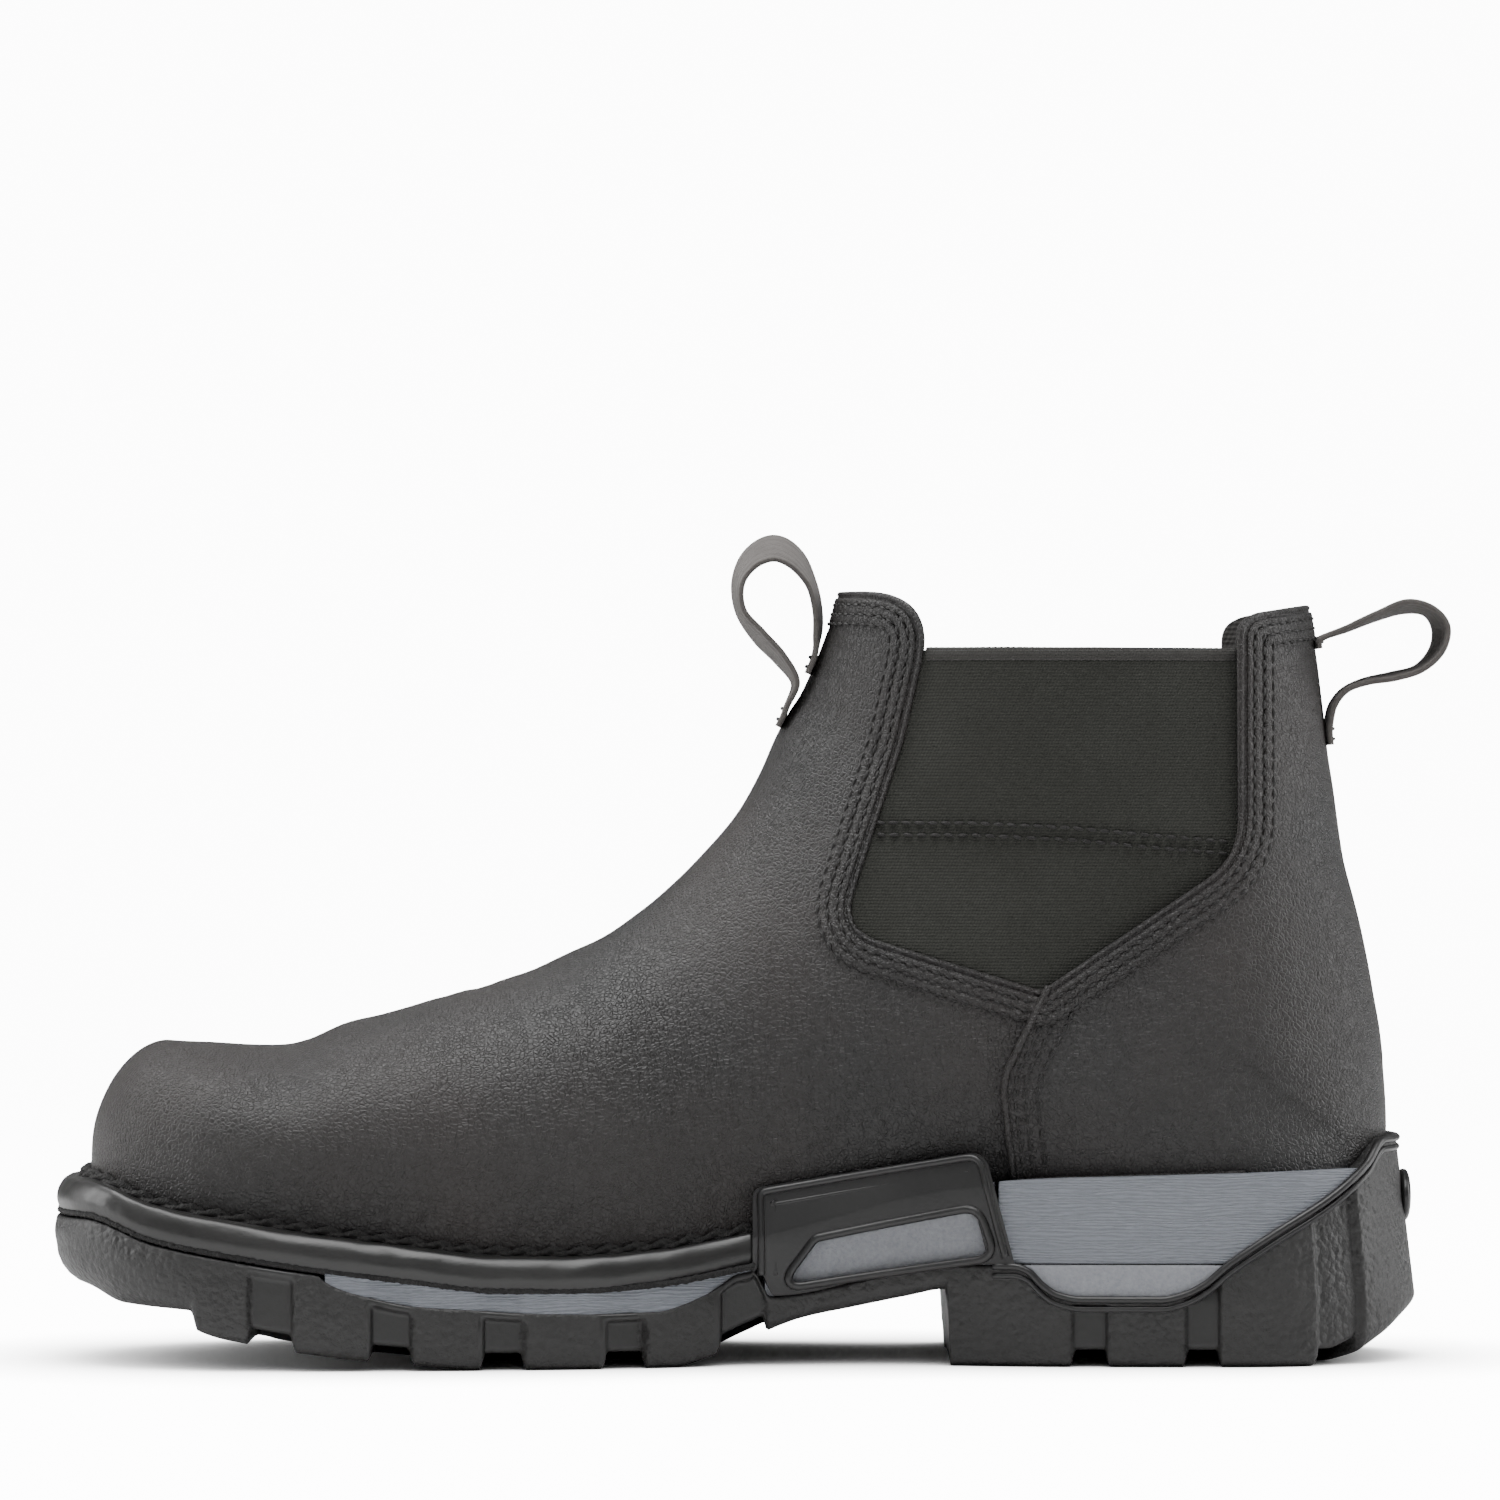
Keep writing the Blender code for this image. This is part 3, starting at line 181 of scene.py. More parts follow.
# Underside of the sole, by share along the last: shares of the heel's bevel, of the clearance
# under the waist and of the tread's spring.
HEEL_BEVEL = [(-0.031, 0.96), (0.0, 0.53), (0.03, 0.12), (0.045, 0.0)]
ARCH = [
    (0.334, 0.0), (0.337, 0.92), (0.368, 0.83), (0.4085, 0.7), (0.448, 0.57), (0.491, 0.31),
    (0.52, 0.11), (0.548, 0.0),
]
SPRING = [
    (0.7, 0.0), (0.742, 0.06), (0.784, 0.12), (0.825, 0.2), (0.868, 0.31), (0.909, 0.47),
    (0.914, 0.7), (0.968, 0.74), (1.0, 0.9),
]

# Side channels between the lugs: share along the last, and width as a share of the channel's.
CHANNELS = [
    # share, width
    (0.8514, 1.0), (0.7629, 1.0), (0.6789, 1.0), (0.5888, 1.0), (0.497, 1.2), (0.226, 0.86),
    (0.141, 0.84), (0.0492, 1.06),
]

# Section of the welt, from its inner foot over the bead. out: share of the sole's edge. up: share
# of the welt's height above the feather line.
WELT_SECTION = [
    (-0.3, -0.92), (-0.3, -0.1), (0.02, 0.02), (0.15, 0.13), (0.3, 0.16), (0.44, 0.1), (0.58, 0.12),
    (0.72, 0.08), (0.86, -0.08), (0.96, -0.32), (0.99, -0.56), (0.95, -0.78), (0.9, -0.92),
    (0.8, -1.02), (0.4, -1.02),
]

# Pull loops, in loop reaches from the point where the free webbing leaves the boot. out: away
# from the boot. up: upwards. twist: of the webbing, in degrees.
FRONT_LOOP = [
    # out, up, twist
    (0.37, -0.56, 0.0),
    (0.3, -0.44, 0.0),
    (0.205, -0.25, 3.0),
    (0.32, -0.06, 8.0),
    (0.48, 0.11, 9.5),
    (0.62, 0.3, 5.5),
    (0.64, 0.52, 8.0),
    (0.54, 0.7, 16.0),
    (0.37, 0.78, 21.0),
    (0.21, 0.7, 16.0),
    (0.09, 0.52, 7.0),
    (0.04, 0.33, 5.0),
    (0.035, 0.15, 4.0),
    (0.07, -0.01, 0.0),
    (0.14, -0.16, 0.0),
]
REAR_LOOP = [
    (-0.01, 0.17, 0.0),
    (0.045, 0.25, 0.0),
    (0.24, 0.34, -3.0),
    (0.43, 0.42, -5.0),
    (0.64, 0.49, -8.0),
    (0.82, 0.46, -5.0),
    (0.915, 0.33, -8.0),
    (0.885, 0.16, -6.0),
    (0.75, 0.02, -3.0),
    (0.55, -0.04, -4.0),
    (0.34, -0.08, -2.0),
    (0.18, -0.15, 0.0),
    (0.085, -0.28, 0.0),
    (0.07, -0.43, 0.0),
    (0.08, -0.56, 0.0),
]


class Table:
    """Smooth curves through a table's rows, which pass every row and never overshoot."""

    def __init__(self, rows: Rows) -> None:
        """Work out the slopes at the rows.

        Args:
            rows: the table, sorted by its first column.
        """
        self.places = [row[0] for row in rows]
        self.columns = [list(column) for column in zip(*rows)]
        self.slopes = [self._slopes(column) for column in self.columns]

    def _slopes(self, column: list[float]) -> list[float]:
        """Slope of the curve at each row.

        Args:
            column: the values.

        Returns:
            One slope for each row, level wherever the values turn.
        """
        steps = [
            (column[i + 1] - column[i]) / (self.places[i + 1] - self.places[i])
            for i in range(len(column) - 1)
        ]
        slopes = [0.0]
        for left, right in zip(steps, steps[1:]):
            slopes.append(2.0 * left * right / (left + right) if left * right > 0.0 else 0.0)
        return slopes + [0.0]

    def at(self, place: float, column: int = 1) -> float:
        """Value of a column at a place.

        Args:
            place: where along the first column.
            column: the column's number.

        Returns:
            The value on the curve.
        """
        values = self.columns[column]
        if place <= self.places[0]:
            return values[0]
        if place >= self.places[-1]:
            return values[-1]
        i = bisect.bisect_right(self.places, place) - 1
        width = self.places[i + 1] - self.places[i]
        t = (place - self.places[i]) / width
        rise = (3.0 - 2.0 * t) * t * t
        lead = t * (1.0 - t) * (1.0 - t) * self.slopes[column][i]
        trail = t * t * (1.0 - t) * self.slopes[column][i + 1]
        return values[i] * (1.0 - rise) + values[i + 1] * rise + width * (lead - trail)


def soft_step(value: float, low: float, high: float) -> float:
    """Rise from 0 at low to 1 at high, level at both ends."""
    t = min(1.0, max(0.0, (value - low) / (high - low)))
    return t * t * (3.0 - 2.0 * t)


def rounded_outline(corners: Rows, steps: int = 10) -> list[Vector]:
    """Outline with an arc at each corner.

    Args:
        corners: rows of x, z and radius in metres.
        steps: the number of sides in an arc.

    Returns:
        The points of the outline.
    """
    points = []
    for i, (x, z, radius) in enumerate(corners):
        here = Vector((x, z))
        if radius <= 0.0:
            points.append(here)
            continue
        back = Vector(corners[i - 1][:2]) - here
        ahead = Vector(corners[(i + 1) % len(corners)][:2]) - here
        reach = radius / math.tan(0.5 * back.angle(ahead))
        reach = min(reach, 0.48 * back.length, 0.48 * ahead.length)
        start = here + back.normalized() * reach
        end = here + ahead.normalized() * reach
        for step in range(steps + 1):
            t = step / steps
            points.append(start.lerp(here, t).lerp(here.lerp(end, t), t))
    return points


def moved_outline(points: Sequence[Vector], outward: float) -> list[Vector]:
    """The same closed outline with each of its sides moved outward.

    Args:
        points: the outline.
        outward: how far, or inward where negative.

    Returns:
        The moved points, as many as before.
    """
    area = sum(a.x * b.y - b.x * a.y for a, b in zip(points, points[1:] + points[:1]))
    turn = 1.0 if area > 0.0 else -1.0
    moved = []
    for i, here in enumerate(points):
        before = (here - points[i - 1]).normalized()
        after = (points[(i + 1) % len(points)] - here).normalized()
        first = Vector((before.y, -before.x)) * turn
        second = Vector((after.y, -after.x)) * turn
        bisector = (first + second).normalized()
        moved.append(here + bisector * outward / max(0.4, bisector.dot(first)))
    return moved


def dense(points: Sequence[Vector], spacing: float) -> list[Vector]:
    """Points along an open line, evenly close together.

    Args:
        points: the line's corners.
        spacing: the longest step.

    Returns:
        The closer points, the corners among them.
    """
    result = [points[0].copy()]
    for start, end in zip(points, points[1:]):
        count = max(1, math.ceil((end - start).length / spacing))
        result += [start.lerp(end, (i + 1) / count) for i in range(count)]
    return result


def formed_grid(columns: int, rows: int, place: Callable[[float, float], Vector]) -> Form:
    """Grid bent into a form.

    Args:
        columns: the number of steps along the form.
        rows: the number of steps across it.
        place: the point for a share along and a share across.

    Returns:
        The new mesh, with the points that fall together joined.
    """
    mesh = bmesh.new()
    bmesh.ops.create_grid(mesh, x_segments=columns, y_segments=rows, size=0.5)
    for vert in mesh.verts:
        vert.co = place(vert.co.x + 0.5, vert.co.y + 0.5)
    bmesh.ops.remove_doubles(mesh, verts=mesh.verts, dist=2e-6)
    bmesh.ops.dissolve_degenerate(mesh, edges=mesh.edges, dist=1e-6)
    mesh.normal_update()
    return mesh


def closed_outward(mesh: Form) -> Form:
    """Close what is open and face every side outwards.

    Args:
        mesh: the mesh to mend.

    Returns:
        The same mesh.
    """
    open_edges = [edge for edge in mesh.edges if edge.is_boundary]
    if open_edges:
        bmesh.ops.holes_fill(mesh, edges=open_edges, sides=0)
    bmesh.ops.recalc_face_normals(mesh, faces=mesh.faces)
    return mesh


def face_towards(
    mesh: Form, way: Vector, pick: Callable[[bmesh.types.BMFace], float] | None = None
) -> None:
    """Turn an open surface over where one of its faces looks the wrong way.

    Args:
        mesh: the surface.
        way: the direction that the face has to look in.
        pick: measure of a face, by which the largest is chosen. Its area if left out.
    """
    chosen = max(mesh.faces, key=pick or (lambda face: face.calc_area()))
    if chosen.normal.dot(way) < 0.0:
        bmesh.ops.reverse_faces(mesh, faces=mesh.faces)


def relax(mesh: Form, verts: Sequence[bmesh.types.BMVert], rounds: int) -> None:
    """Draw points of a mesh towards their neighbours.

    Args:
        mesh: the mesh.
        verts: the points that move.
        rounds: how many times.
    """
    for _ in range(rounds):
        bmesh.ops.smooth_vert(
            mesh, verts=verts, factor=0.5, use_axis_x=True, use_axis_y=True, use_axis_z=True
        )


def new_mesh(form: Form, name: str) -> bpy.types.Mesh:
    """Mesh data from a form, which is freed.

    Args:
        form: the form.
        name: of the data.

    Returns:
        The data.
    """
    data = bpy.data.meshes.new(name)
    form.to_mesh(data)
    form.free()
    return data


def new_piece(name: str, mesh: Form, *materials: bpy.types.Material) -> Piece:
    """Smooth object from a mesh, which is freed.

    Args:
        name: the piece's name.
        mesh: its form.
        materials: its finishes, by material number.

    Returns:
        The new object, in the scene.
    """
    data = new_mesh(mesh, name)
    for material in materials:
        data.materials.append(material)
    data.shade_smooth()
    piece = bpy.data.objects.new(name, data)
    bpy.context.scene.collection.objects.link(piece)
    return piece


def add_wall(piece: Piece, thickness: float, inner: int = 0) -> None:
    """Give a surface its thickness, inwards.

    Args:
        piece: the object.
        thickness: of the wall.
        inner: the number of the material on its inside.
    """
    solid = piece.modifiers.new("wall", "SOLIDIFY")
    solid.thickness = thickness
    solid.offset = -1.0
    solid.material_offset = inner


def settle(piece: Piece, sharp: float = 40.0) -> None:
    """Apply a piece's modifiers.

    Args:
        piece: the object.
        sharp: the angle from which an edge looks sharp, in degrees.
    """
    graph = bpy.context.evaluated_depsgraph_get()
    data = bpy.data.meshes.new_from_object(piece.evaluated_get(graph))
    piece.modifiers.clear()
    old = piece.data
    piece.data = data
    data.name = piece.name
    bpy.data.meshes.remove(old)
    data.shade_smooth()
    data.set_sharp_from_angle(angle=math.radians(sharp))


def prism(
    name: str, outline: Sequence[Vector], near: float = -ACROSS, far: float = ACROSS
) -> Piece:
    """Solid of a side outline between two places across the boot.

    Args:
        name: the object's name.
        outline: points of x and z.
        near: the first y.
        far: the last y.

    Returns:
        The solid, to cut with.
    """
    mesh = bmesh.new()
    base = mesh.faces.new([mesh.verts.new((p.x, near, p.y)) for p in outline])
    swept = bmesh.ops.extrude_face_region(mesh, geom=[base])
    moved = [item for item in swept["geom"] if isinstance(item, bmesh.types.BMVert)]
    bmesh.ops.translate(mesh, vec=(0.0, far - near, 0.0), verts=moved)
    return new_piece(name, closed_outward(mesh))


def cut(
    piece: Piece,
    tools: Sequence[tuple[str, Piece]],
    sharp: float = 40.0,
    solver: str = "EXACT",
) -> None:
    """Cut a piece with solids and remove them.

    Args:
        piece: the object.
        tools: pairs of the Boolean's operation and the solid.
        sharp: the angle from which an edge looks sharp, in degrees.
        solver: of the Boolean.
    """
    for operation, tool in tools:
        modifier = piece.modifiers.new(tool.name, "BOOLEAN")
        modifier.operation = operation
        modifier.solver = solver
        modifier.object = tool
    settle(piece, sharp)
    if not piece.data.polygons:
        raise ValueError(f"{piece.name} has no faces left")
    for _, tool in tools:
        bpy.data.objects.remove(tool)


@dataclass(frozen=True)
class Spot:
    """Point on a surface, and the surface's direction there."""

    place: Vector
    normal: Vector


class Line:
    """Line over a surface, read by the distance along it."""

    def __init__(self, spots: Sequence[Spot], closed: bool = False) -> None:
        """Measure the line.

        Args:
            spots: its points in order.
            closed: whether it runs back to its start.
        """
        self.closed = closed
        self.spots = list(spots) + ([spots[0]] if closed else [])
        self.marks = [0.0]
        for before, after in zip(self.spots, self.spots[1:]):
            self.marks.append(self.marks[-1] + (after.place - before.place).length)
        self.length = self.marks[-1]

    def at(self, distance: float) -> Spot:
        """Spot at a distance from the start.

        Args:
            distance: along the line. A closed line goes on round.

        Returns:
            The spot between its neighbours.
        """
        if self.closed:
            distance %= self.length
        i = min(max(bisect.bisect_right(self.marks, distance) - 1, 0), len(self.spots) - 2)
        span = max(self.marks[i + 1] - self.marks[i], 1e-9)
        t = min(1.0, max(0.0, (distance - self.marks[i]) / span))
        before, after = self.spots[i], self.spots[i + 1]
        return Spot(before.place.lerp(after.place, t), before.normal.lerp(after.normal, t).normalized())

    def frame_at(self, distance: float, reach: float = 0.0006) -> tuple[Spot, Vector, Vector]:
        """Spot with its directions along and across the line.

        Args:
            distance: along the line.
            reach: how far before and after the direction is taken.

        Returns:
            The spot, the direction along and the direction across.
        """
        spot = self.at(distance)
        ahead = self.at(distance + reach).place - self.at(distance - reach).place
        along = ahead.normalized() if ahead.length > 1e-9 else Vector((1.0, 0.0, 0.0))
        across = along.cross(spot.normal).normalized()
        return spot, along, across


def swept_bead(line: Line, section: Sequence[Pair], spacing: float = 0.0014) -> Form:
    """Bead of one section along a line.

    Args:
        line: the line.
        section: closed outline of distances across the line and up from the surface.
        spacing: the step along the line.

    Returns:
        A closed mesh.
    """
    count = max(8, round(line.length / spacing))
    sides = len(section)

    def place(u: float, v: float) -> Vector:
        spot, _, across = frames[min(count, round(u * count))]
        out, up = section[round(v * sides) % sides]
        return spot.place + across * out + spot.normal * up

    reach = line.length / count
    frames = [line.frame_at(reach * i) for i in range(count + 1)]
    if line.closed:
        frames[-1] = frames[0]
    return closed_outward(formed_grid(count, sides, place))


def round_section(half_width: float, height: float, sunk: float = 0.3, sides: int = 10) -> list[Pair]:
    """Oval section that stands on a surface.

    Args:
        half_width: across.
        height: above the surface.
        sunk: how much of the height is added below it.
        sides: the number of its sides.

    Returns:
        Distances across and up.
    """
    turns = [2.0 * math.pi * i / sides for i in range(sides)]
    middle = 0.5 * height * (1.0 - sunk)
    half = 0.5 * height * (1.0 + sunk)
    return [(half_width * math.cos(turn), middle + half * math.sin(turn)) for turn in turns]


@dataclass(frozen=True)
class Ring:
    """One section of the last."""

    foot: Vector
    top: Vector
    foot_half: float
    full_half: float
    level: float
    low: float
    high: float


@dataclass(eq=False)
class Last:
    """The form that the boot is made on, with its real sizes."""

    length: float = 0.2918
    back: float = -0.0536
    ball_half_width: float = 0.0470
    upper_height: float = 0.1290
    seat_height: float = 0.0434
    ball_height: float = 0.0241
    toe_spring: float = 0.0157
    toe_tip_rise: float = 0.0062
    toe_plan_round: float = 0.0580
    heel_plan_round: float = 0.0350
    toe_squareness: float = 2.7
    heel_squareness: float = 2.15
    toe_profile: float = 1.8
    toe_orders: int = 6
    counter_reach: float = 0.030
    counter_top: float = 0.066
    counter_rounds: int = 10
    plan: Table = field(default_factory=lambda: Table(PLAN))
    sections: Table = field(default_factory=lambda: Table(SECTIONS))
    seam: Table = field(default_factory=lambda: Table(BACK_SEAM))

    def x_at(self, share: float) -> float:
        """X of a share along the last."""
        return self.back + self.length * share

    def share_at(self, x: float) -> float:
        """Share along the last of an X."""
        return (x - self.back) / self.length

    def feather(self, share: float) -> float:
        """Height of the feather line above the floor."""
        seat = self.plan.at(share, 1) * (self.seat_height - self.ball_height)
        return self.ball_height + seat + self.plan.at(share, 2) * self.toe_spring

    def end_round(self, distance: float, radius: float, squareness: float) -> float:
        """Share of the full width near a rounded end.

        Args:
            distance: from the end.
            radius: where the rounding starts.
            squareness: the power of the curve.

        Returns:
            A share from 0 to 1.
        """
        if distance >= radius:
            return 1.0
        inward = (radius - max(distance, 0.0)) / radius
        return max(0.0, 1.0 - inward**squareness) ** (1.0 / squareness)

    def toe_round(self, share: float) -> float:
        """Narrowing of the plan towards the tip of the toe."""
        return self.end_round(self.length * (1.0 - share), self.toe_plan_round, self.toe_squareness)

    def heel_round(self, share: float) -> float:
        """Narrowing of the plan towards the back of the heel."""
        return self.end_round(self.length * share, self.heel_plan_round, self.heel_squareness)

    def centre(self, share: float) -> float:
        """Y of the middle of the plan."""
        return self.plan.at(share, 3) * self.ball_half_width

    def half(self, share: float) -> float:
        """Half width of the plan, before the heel is rounded."""
        return self.plan.at(share, 4) * self.ball_half_width * self.toe_round(share)

    @functools.lru_cache(maxsize=4096)
    def ring(self, order: float) -> Ring:
        """Section at an order. Orders under 0 are the rings round the tip of the toe.

        Args:
            order: from the negative number of toe rings to the last section.

        Returns:
            The section.
        """
        if order >= 0.0:
            row = [self.sections.at(order, column) for column in range(len(SECTIONS[0]))]
            _, top, top_rise, foot, back, belly, level, low, high, ridge = row
            foot_x = self.x_at(foot + self.seam.at(back))
            foot_z = self.feather(foot) + self.upper_height * back
            top_z = self.feather(top) + self.upper_height * top_rise
            full = self.half(foot)
            swell = belly * self.ball_half_width * self.toe_round(foot)
            foot_point = Vector((foot_x, self.centre(foot), foot_z))
            top_point = Vector((self.x_at(top), ridge * self.ball_half_width, top_z))
            return Ring(foot_point, top_point, full * self.heel_round(foot), full + swell, level, low, high)
        _, top, top_rise, _, _, belly, level, low, high, _ = SECTIONS[0]
        start, tip = self.x_at(top), self.x_at(1.0)
        tip_z = self.feather(1.0) + self.toe_tip_rise
        top_z = self.feather(top) + self.upper_height * top_rise
        forward = math.sin(-0.5 * math.pi * order / self.toe_orders) ** (2.0 / self.toe_profile)
        x = start + (tip - start) * forward
        bulge = max(0.0, 1.0 - forward**self.toe_profile) ** (1.0 / self.toe_profile)
        share = self.share_at(x)
        half = self.half(share)
        swell = belly * self.ball_half_width * self.toe_round(share)
        foot_point = Vector((x, self.centre(share), self.feather(share)))
        top_point = Vector((x, self.centre(share), tip_z + (top_z - tip_z) * bulge))
        return Ring(foot_point, top_point, half, half + swell, level, low, high)

    def point(self, order: float, turn: float) -> Vector:
        """Point on the last.

        Args:
            order: of the section.
            turn: round it, from 1 at the inner foot over 0 at the ridge to -1 at the outer foot.

        Returns:
            The point.
        """
        ring = self.ring(order)
        climb = 12.0 * (1.0 - abs(turn))
        if climb < 5.0:
            closed = 1.0 - ring.foot_half / ring.full_half if ring.full_half > 1e-6 else 1.0
            power = 1.0 + (1.0 / ring.low - 1.0) * closed
            u = 1.0 - math.cos(0.1 * math.pi * climb)
            t = ring.level * u
            swell = (1.0 - (1.0 - u) ** ring.low) ** power
            half = ring.foot_half + (ring.full_half - ring.foot_half) * swell
        else:
            u = min(1.0, math.sin(math.pi * (climb - 5.0) / 14.0))
            t = ring.level + (1.0 - ring.level) * u
            half = ring.full_half * max(0.0, 1.0 - u**ring.high) ** (1.0 / ring.high)
        middle = ring.foot.lerp(ring.top, t)
        drift = t * t * (3.0 - 2.0 * t)
        side = math.copysign(half, turn)
        return Vector((middle.x, ring.foot.y + (ring.top.y - ring.foot.y) * drift + side, middle.z))

    def skin(
        self, steps: tuple[int, int], orders: Pair, outward: float, relief: Callable[[Vector], float]
    ) -> Form:
        """Open surface over the last, facing out.

        Args:
            steps: along the boot and round it.
            orders: the first and the last section.
            outward: its distance from the last.
            relief: what is added to that distance at a point.

        Returns:
            The mesh.
        """

        def place(u: float, v: float) -> Vector:
            return self.point(orders[0] + (orders[1] - orders[0]) * u, 1.0 - 2.0 * v)

        mesh = formed_grid(*steps, place)
        bmesh.ops.recalc_face_normals(mesh, faces=mesh.faces)
        face_towards(mesh, Vector((1.0, 0.0, 0.0)), lambda face: face.calc_center_median().x)
        front = self.back + self.counter_reach
        inside = [vert for vert in mesh.verts if not vert.is_boundary]
        counter = [vert for vert in inside if vert.co.x < front and vert.co.z < self.counter_top]
        relax(mesh, counter, self.counter_rounds)
        mesh.normal_update()
        moves = []
        for vert in mesh.verts:
            normal = vert.normal.copy()
            if vert.is_boundary and vert.co.z <= self.feather(self.share_at(vert.co.x)) + 1e-4:
                normal.z = 0.0
                normal.normalize()
            moves.append(normal * (outward + relief(vert.co)))
        for vert, move in zip(mesh.verts, moves):
            vert.co += move
        mesh.normal_update()
        return mesh

    def upper_outline(self, corners: Rows) -> list[Vector]:
        """Side outline of the upper's cuts, in metres."""
        return rounded_outline(
            [
                (self.x_at(x), self.seat_height + z * self.upper_height, radius * self.upper_height)
                for x, z, radius in corners
            ]
        )

    def sole_outline(self, corners: Rows) -> list[Vector]:
        """Side outline on the sole, in metres."""
        return rounded_outline(
            [(self.x_at(x), z * self.seat_height, radius * self.seat_height) for x, z, radius in corners]
        )


@dataclass(eq=False)
class Sole:
    """The shape of the sole's edge round the last."""

    last: Last
    toe_edge: float = 0.0079
    forepart_edge: float = 0.0080
    waist_edge: float = 0.0062
    heel_edge: float = 0.0091
    heel_lean: float = 0.0043
    arch_clearance: float = 0.0186
    tread_spring: float = 0.0190
    heel_bevel: float = 0.0120
    edge_bevel: float = 0.0030
    toe_bevel: float = 0.0095
    welt_height: float = 0.0070
    welt_seam: float = 0.00075
    welt_start: float = 0.4870
    strip_end: float = 0.8130

    def __post_init__(self) -> None:
        """Make the curves."""
        self.edge_curve = Table(
            [
                (0.000, self.heel_edge),
                (0.250, self.heel_edge),
                (0.380, self.waist_edge),
                (0.480, self.waist_edge),
                (0.620, self.forepart_edge),
                (0.850, self.forepart_edge),
                (1.000, self.toe_edge),
            ]
        )
        self.top_curve = Table(OUTSOLE_EDGE)
        self.arch_curve = Table(ARCH)
        self.spring_curve = Table(SPRING)
        self.bevel_curve = Table(HEEL_BEVEL)

    def edge(self, share: float) -> float:
        """Width of the sole's edge beyond the feather line."""
        return self.edge_curve.at(share)

    def top(self, share: float) -> float:
        """Height of the outsole's top edge."""
        height = self.top_curve.at(share) * self.last.seat_height
        if share > self.welt_start:
            height = min(height, self.last.feather(min(share, 1.0)) - self.welt_height - self.welt_seam)
        return height

    def under(self, share: float) -> float:
        """Height of the sole's underside."""
        arch = self.arch_curve.at(share) * self.arch_clearance
        spring = self.spring_curve.at(share) * self.tread_spring
        return arch + spring + self.bevel_curve.at(share) * self.heel_bevel

    def bevel(self, share: float) -> float:
        """Round at the bottom edge of the sole, larger round the toe."""
        return self.edge_bevel + (self.toe_bevel - self.edge_bevel) * soft_step(share, 0.905, 0.975)

    def lean(self, share: float, height: float) -> float:
        """How far the heel cup leans in at a height."""
        start = 0.334 * self.last.seat_height
        climb = max(0.0, (height - start) / (OUTSOLE_EDGE[0][1] * self.last.seat_height - start))
        return self.heel_lean * climb * min(1.0, max(0.0, (0.30 - share) / 0.12))

    @functools.lru_cache(maxsize=16384)
    def station(self, turn: float) -> tuple[float, Vector, Vector]:
        """Station on the feather line.

        Args:
            turn: round the boot, 0 at the back, the inner side first, 0.5 at the toe.

        Returns:
            The share along the last, the point and the direction outwards, both in plan.
        """

        def point(at: float) -> tuple[float, Vector]:
            at %= 1.0
            side = 1.0 if at <= 0.5 else -1.0
            share = 0.5 * (1.0 - math.cos(2.0 * math.pi * at))
            half = self.last.half(share) * self.last.heel_round(share)
            return share, Vector((self.last.x_at(share), self.last.centre(share) + side * half))

        reach = 0.0007
        share, place = point(turn)
        ahead = point(turn + reach)[1] - point(turn - reach)[1]
        return share, place, Vector((-ahead.y, ahead.x)).normalized()

    @functools.lru_cache(maxsize=16384)
    def rim_share(self, turn: float) -> float:
        """Share along the last where the sole's edge lies, at a place round the boot."""
        share, place, direction = self.station(turn)
        return self.last.share_at((place + direction * self.edge(share)).x)

    def turn_at(self, share: float, side: float) -> float:
        """Place round the boot of a share along the last."""
        turn = math.acos(1.0 - 2.0 * min(1.0, max(0.0, share))) / (2.0 * math.pi)
        return turn if side > 0.0 else 1.0 - turn

    def wall(self, turn: float, outward: float, height: Callable[[float], float]) -> Vector:
        """Point beyond a station.

        Args:
            turn: round the boot.
            outward: the distance from the feather line.
            height: the height for the share where the point lies.

        Returns:
            The point.
        """
        _, place, direction = self.station(turn)
        spot = place + direction * outward
        return Vector((spot.x, spot.y, height(self.last.share_at(spot.x))))

    def edge_spot(self, turn: float, proud: float, height: float) -> Spot:
        """Spot on the sole's edge.

        Args:
            turn: round the boot.
            proud: the distance beyond the edge.
            height: above the floor.

        Returns:
            The spot, facing outwards.
        """
        share, place, direction = self.station(turn)
        spot = place + direction * (self.edge(share) - self.lean(share, height) + proud)
        return Spot(Vector((spot.x, spot.y, height)), Vector((direction.x, direction.y, 0.0)))


class Coordinates(Enum):
    """Where a pattern takes its coordinates from."""

    OBJECT = "Object"
    UV = "UV"


class Pattern(Enum):
    """Kinds of surface pattern."""

    LEATHER = "leather grain"
    WEAVE = "twill weave"
    STIPPLE = "stipple"
    RIBS = "fine ribs"
    SATIN = "satin skin"
    THREAD = "spun thread"


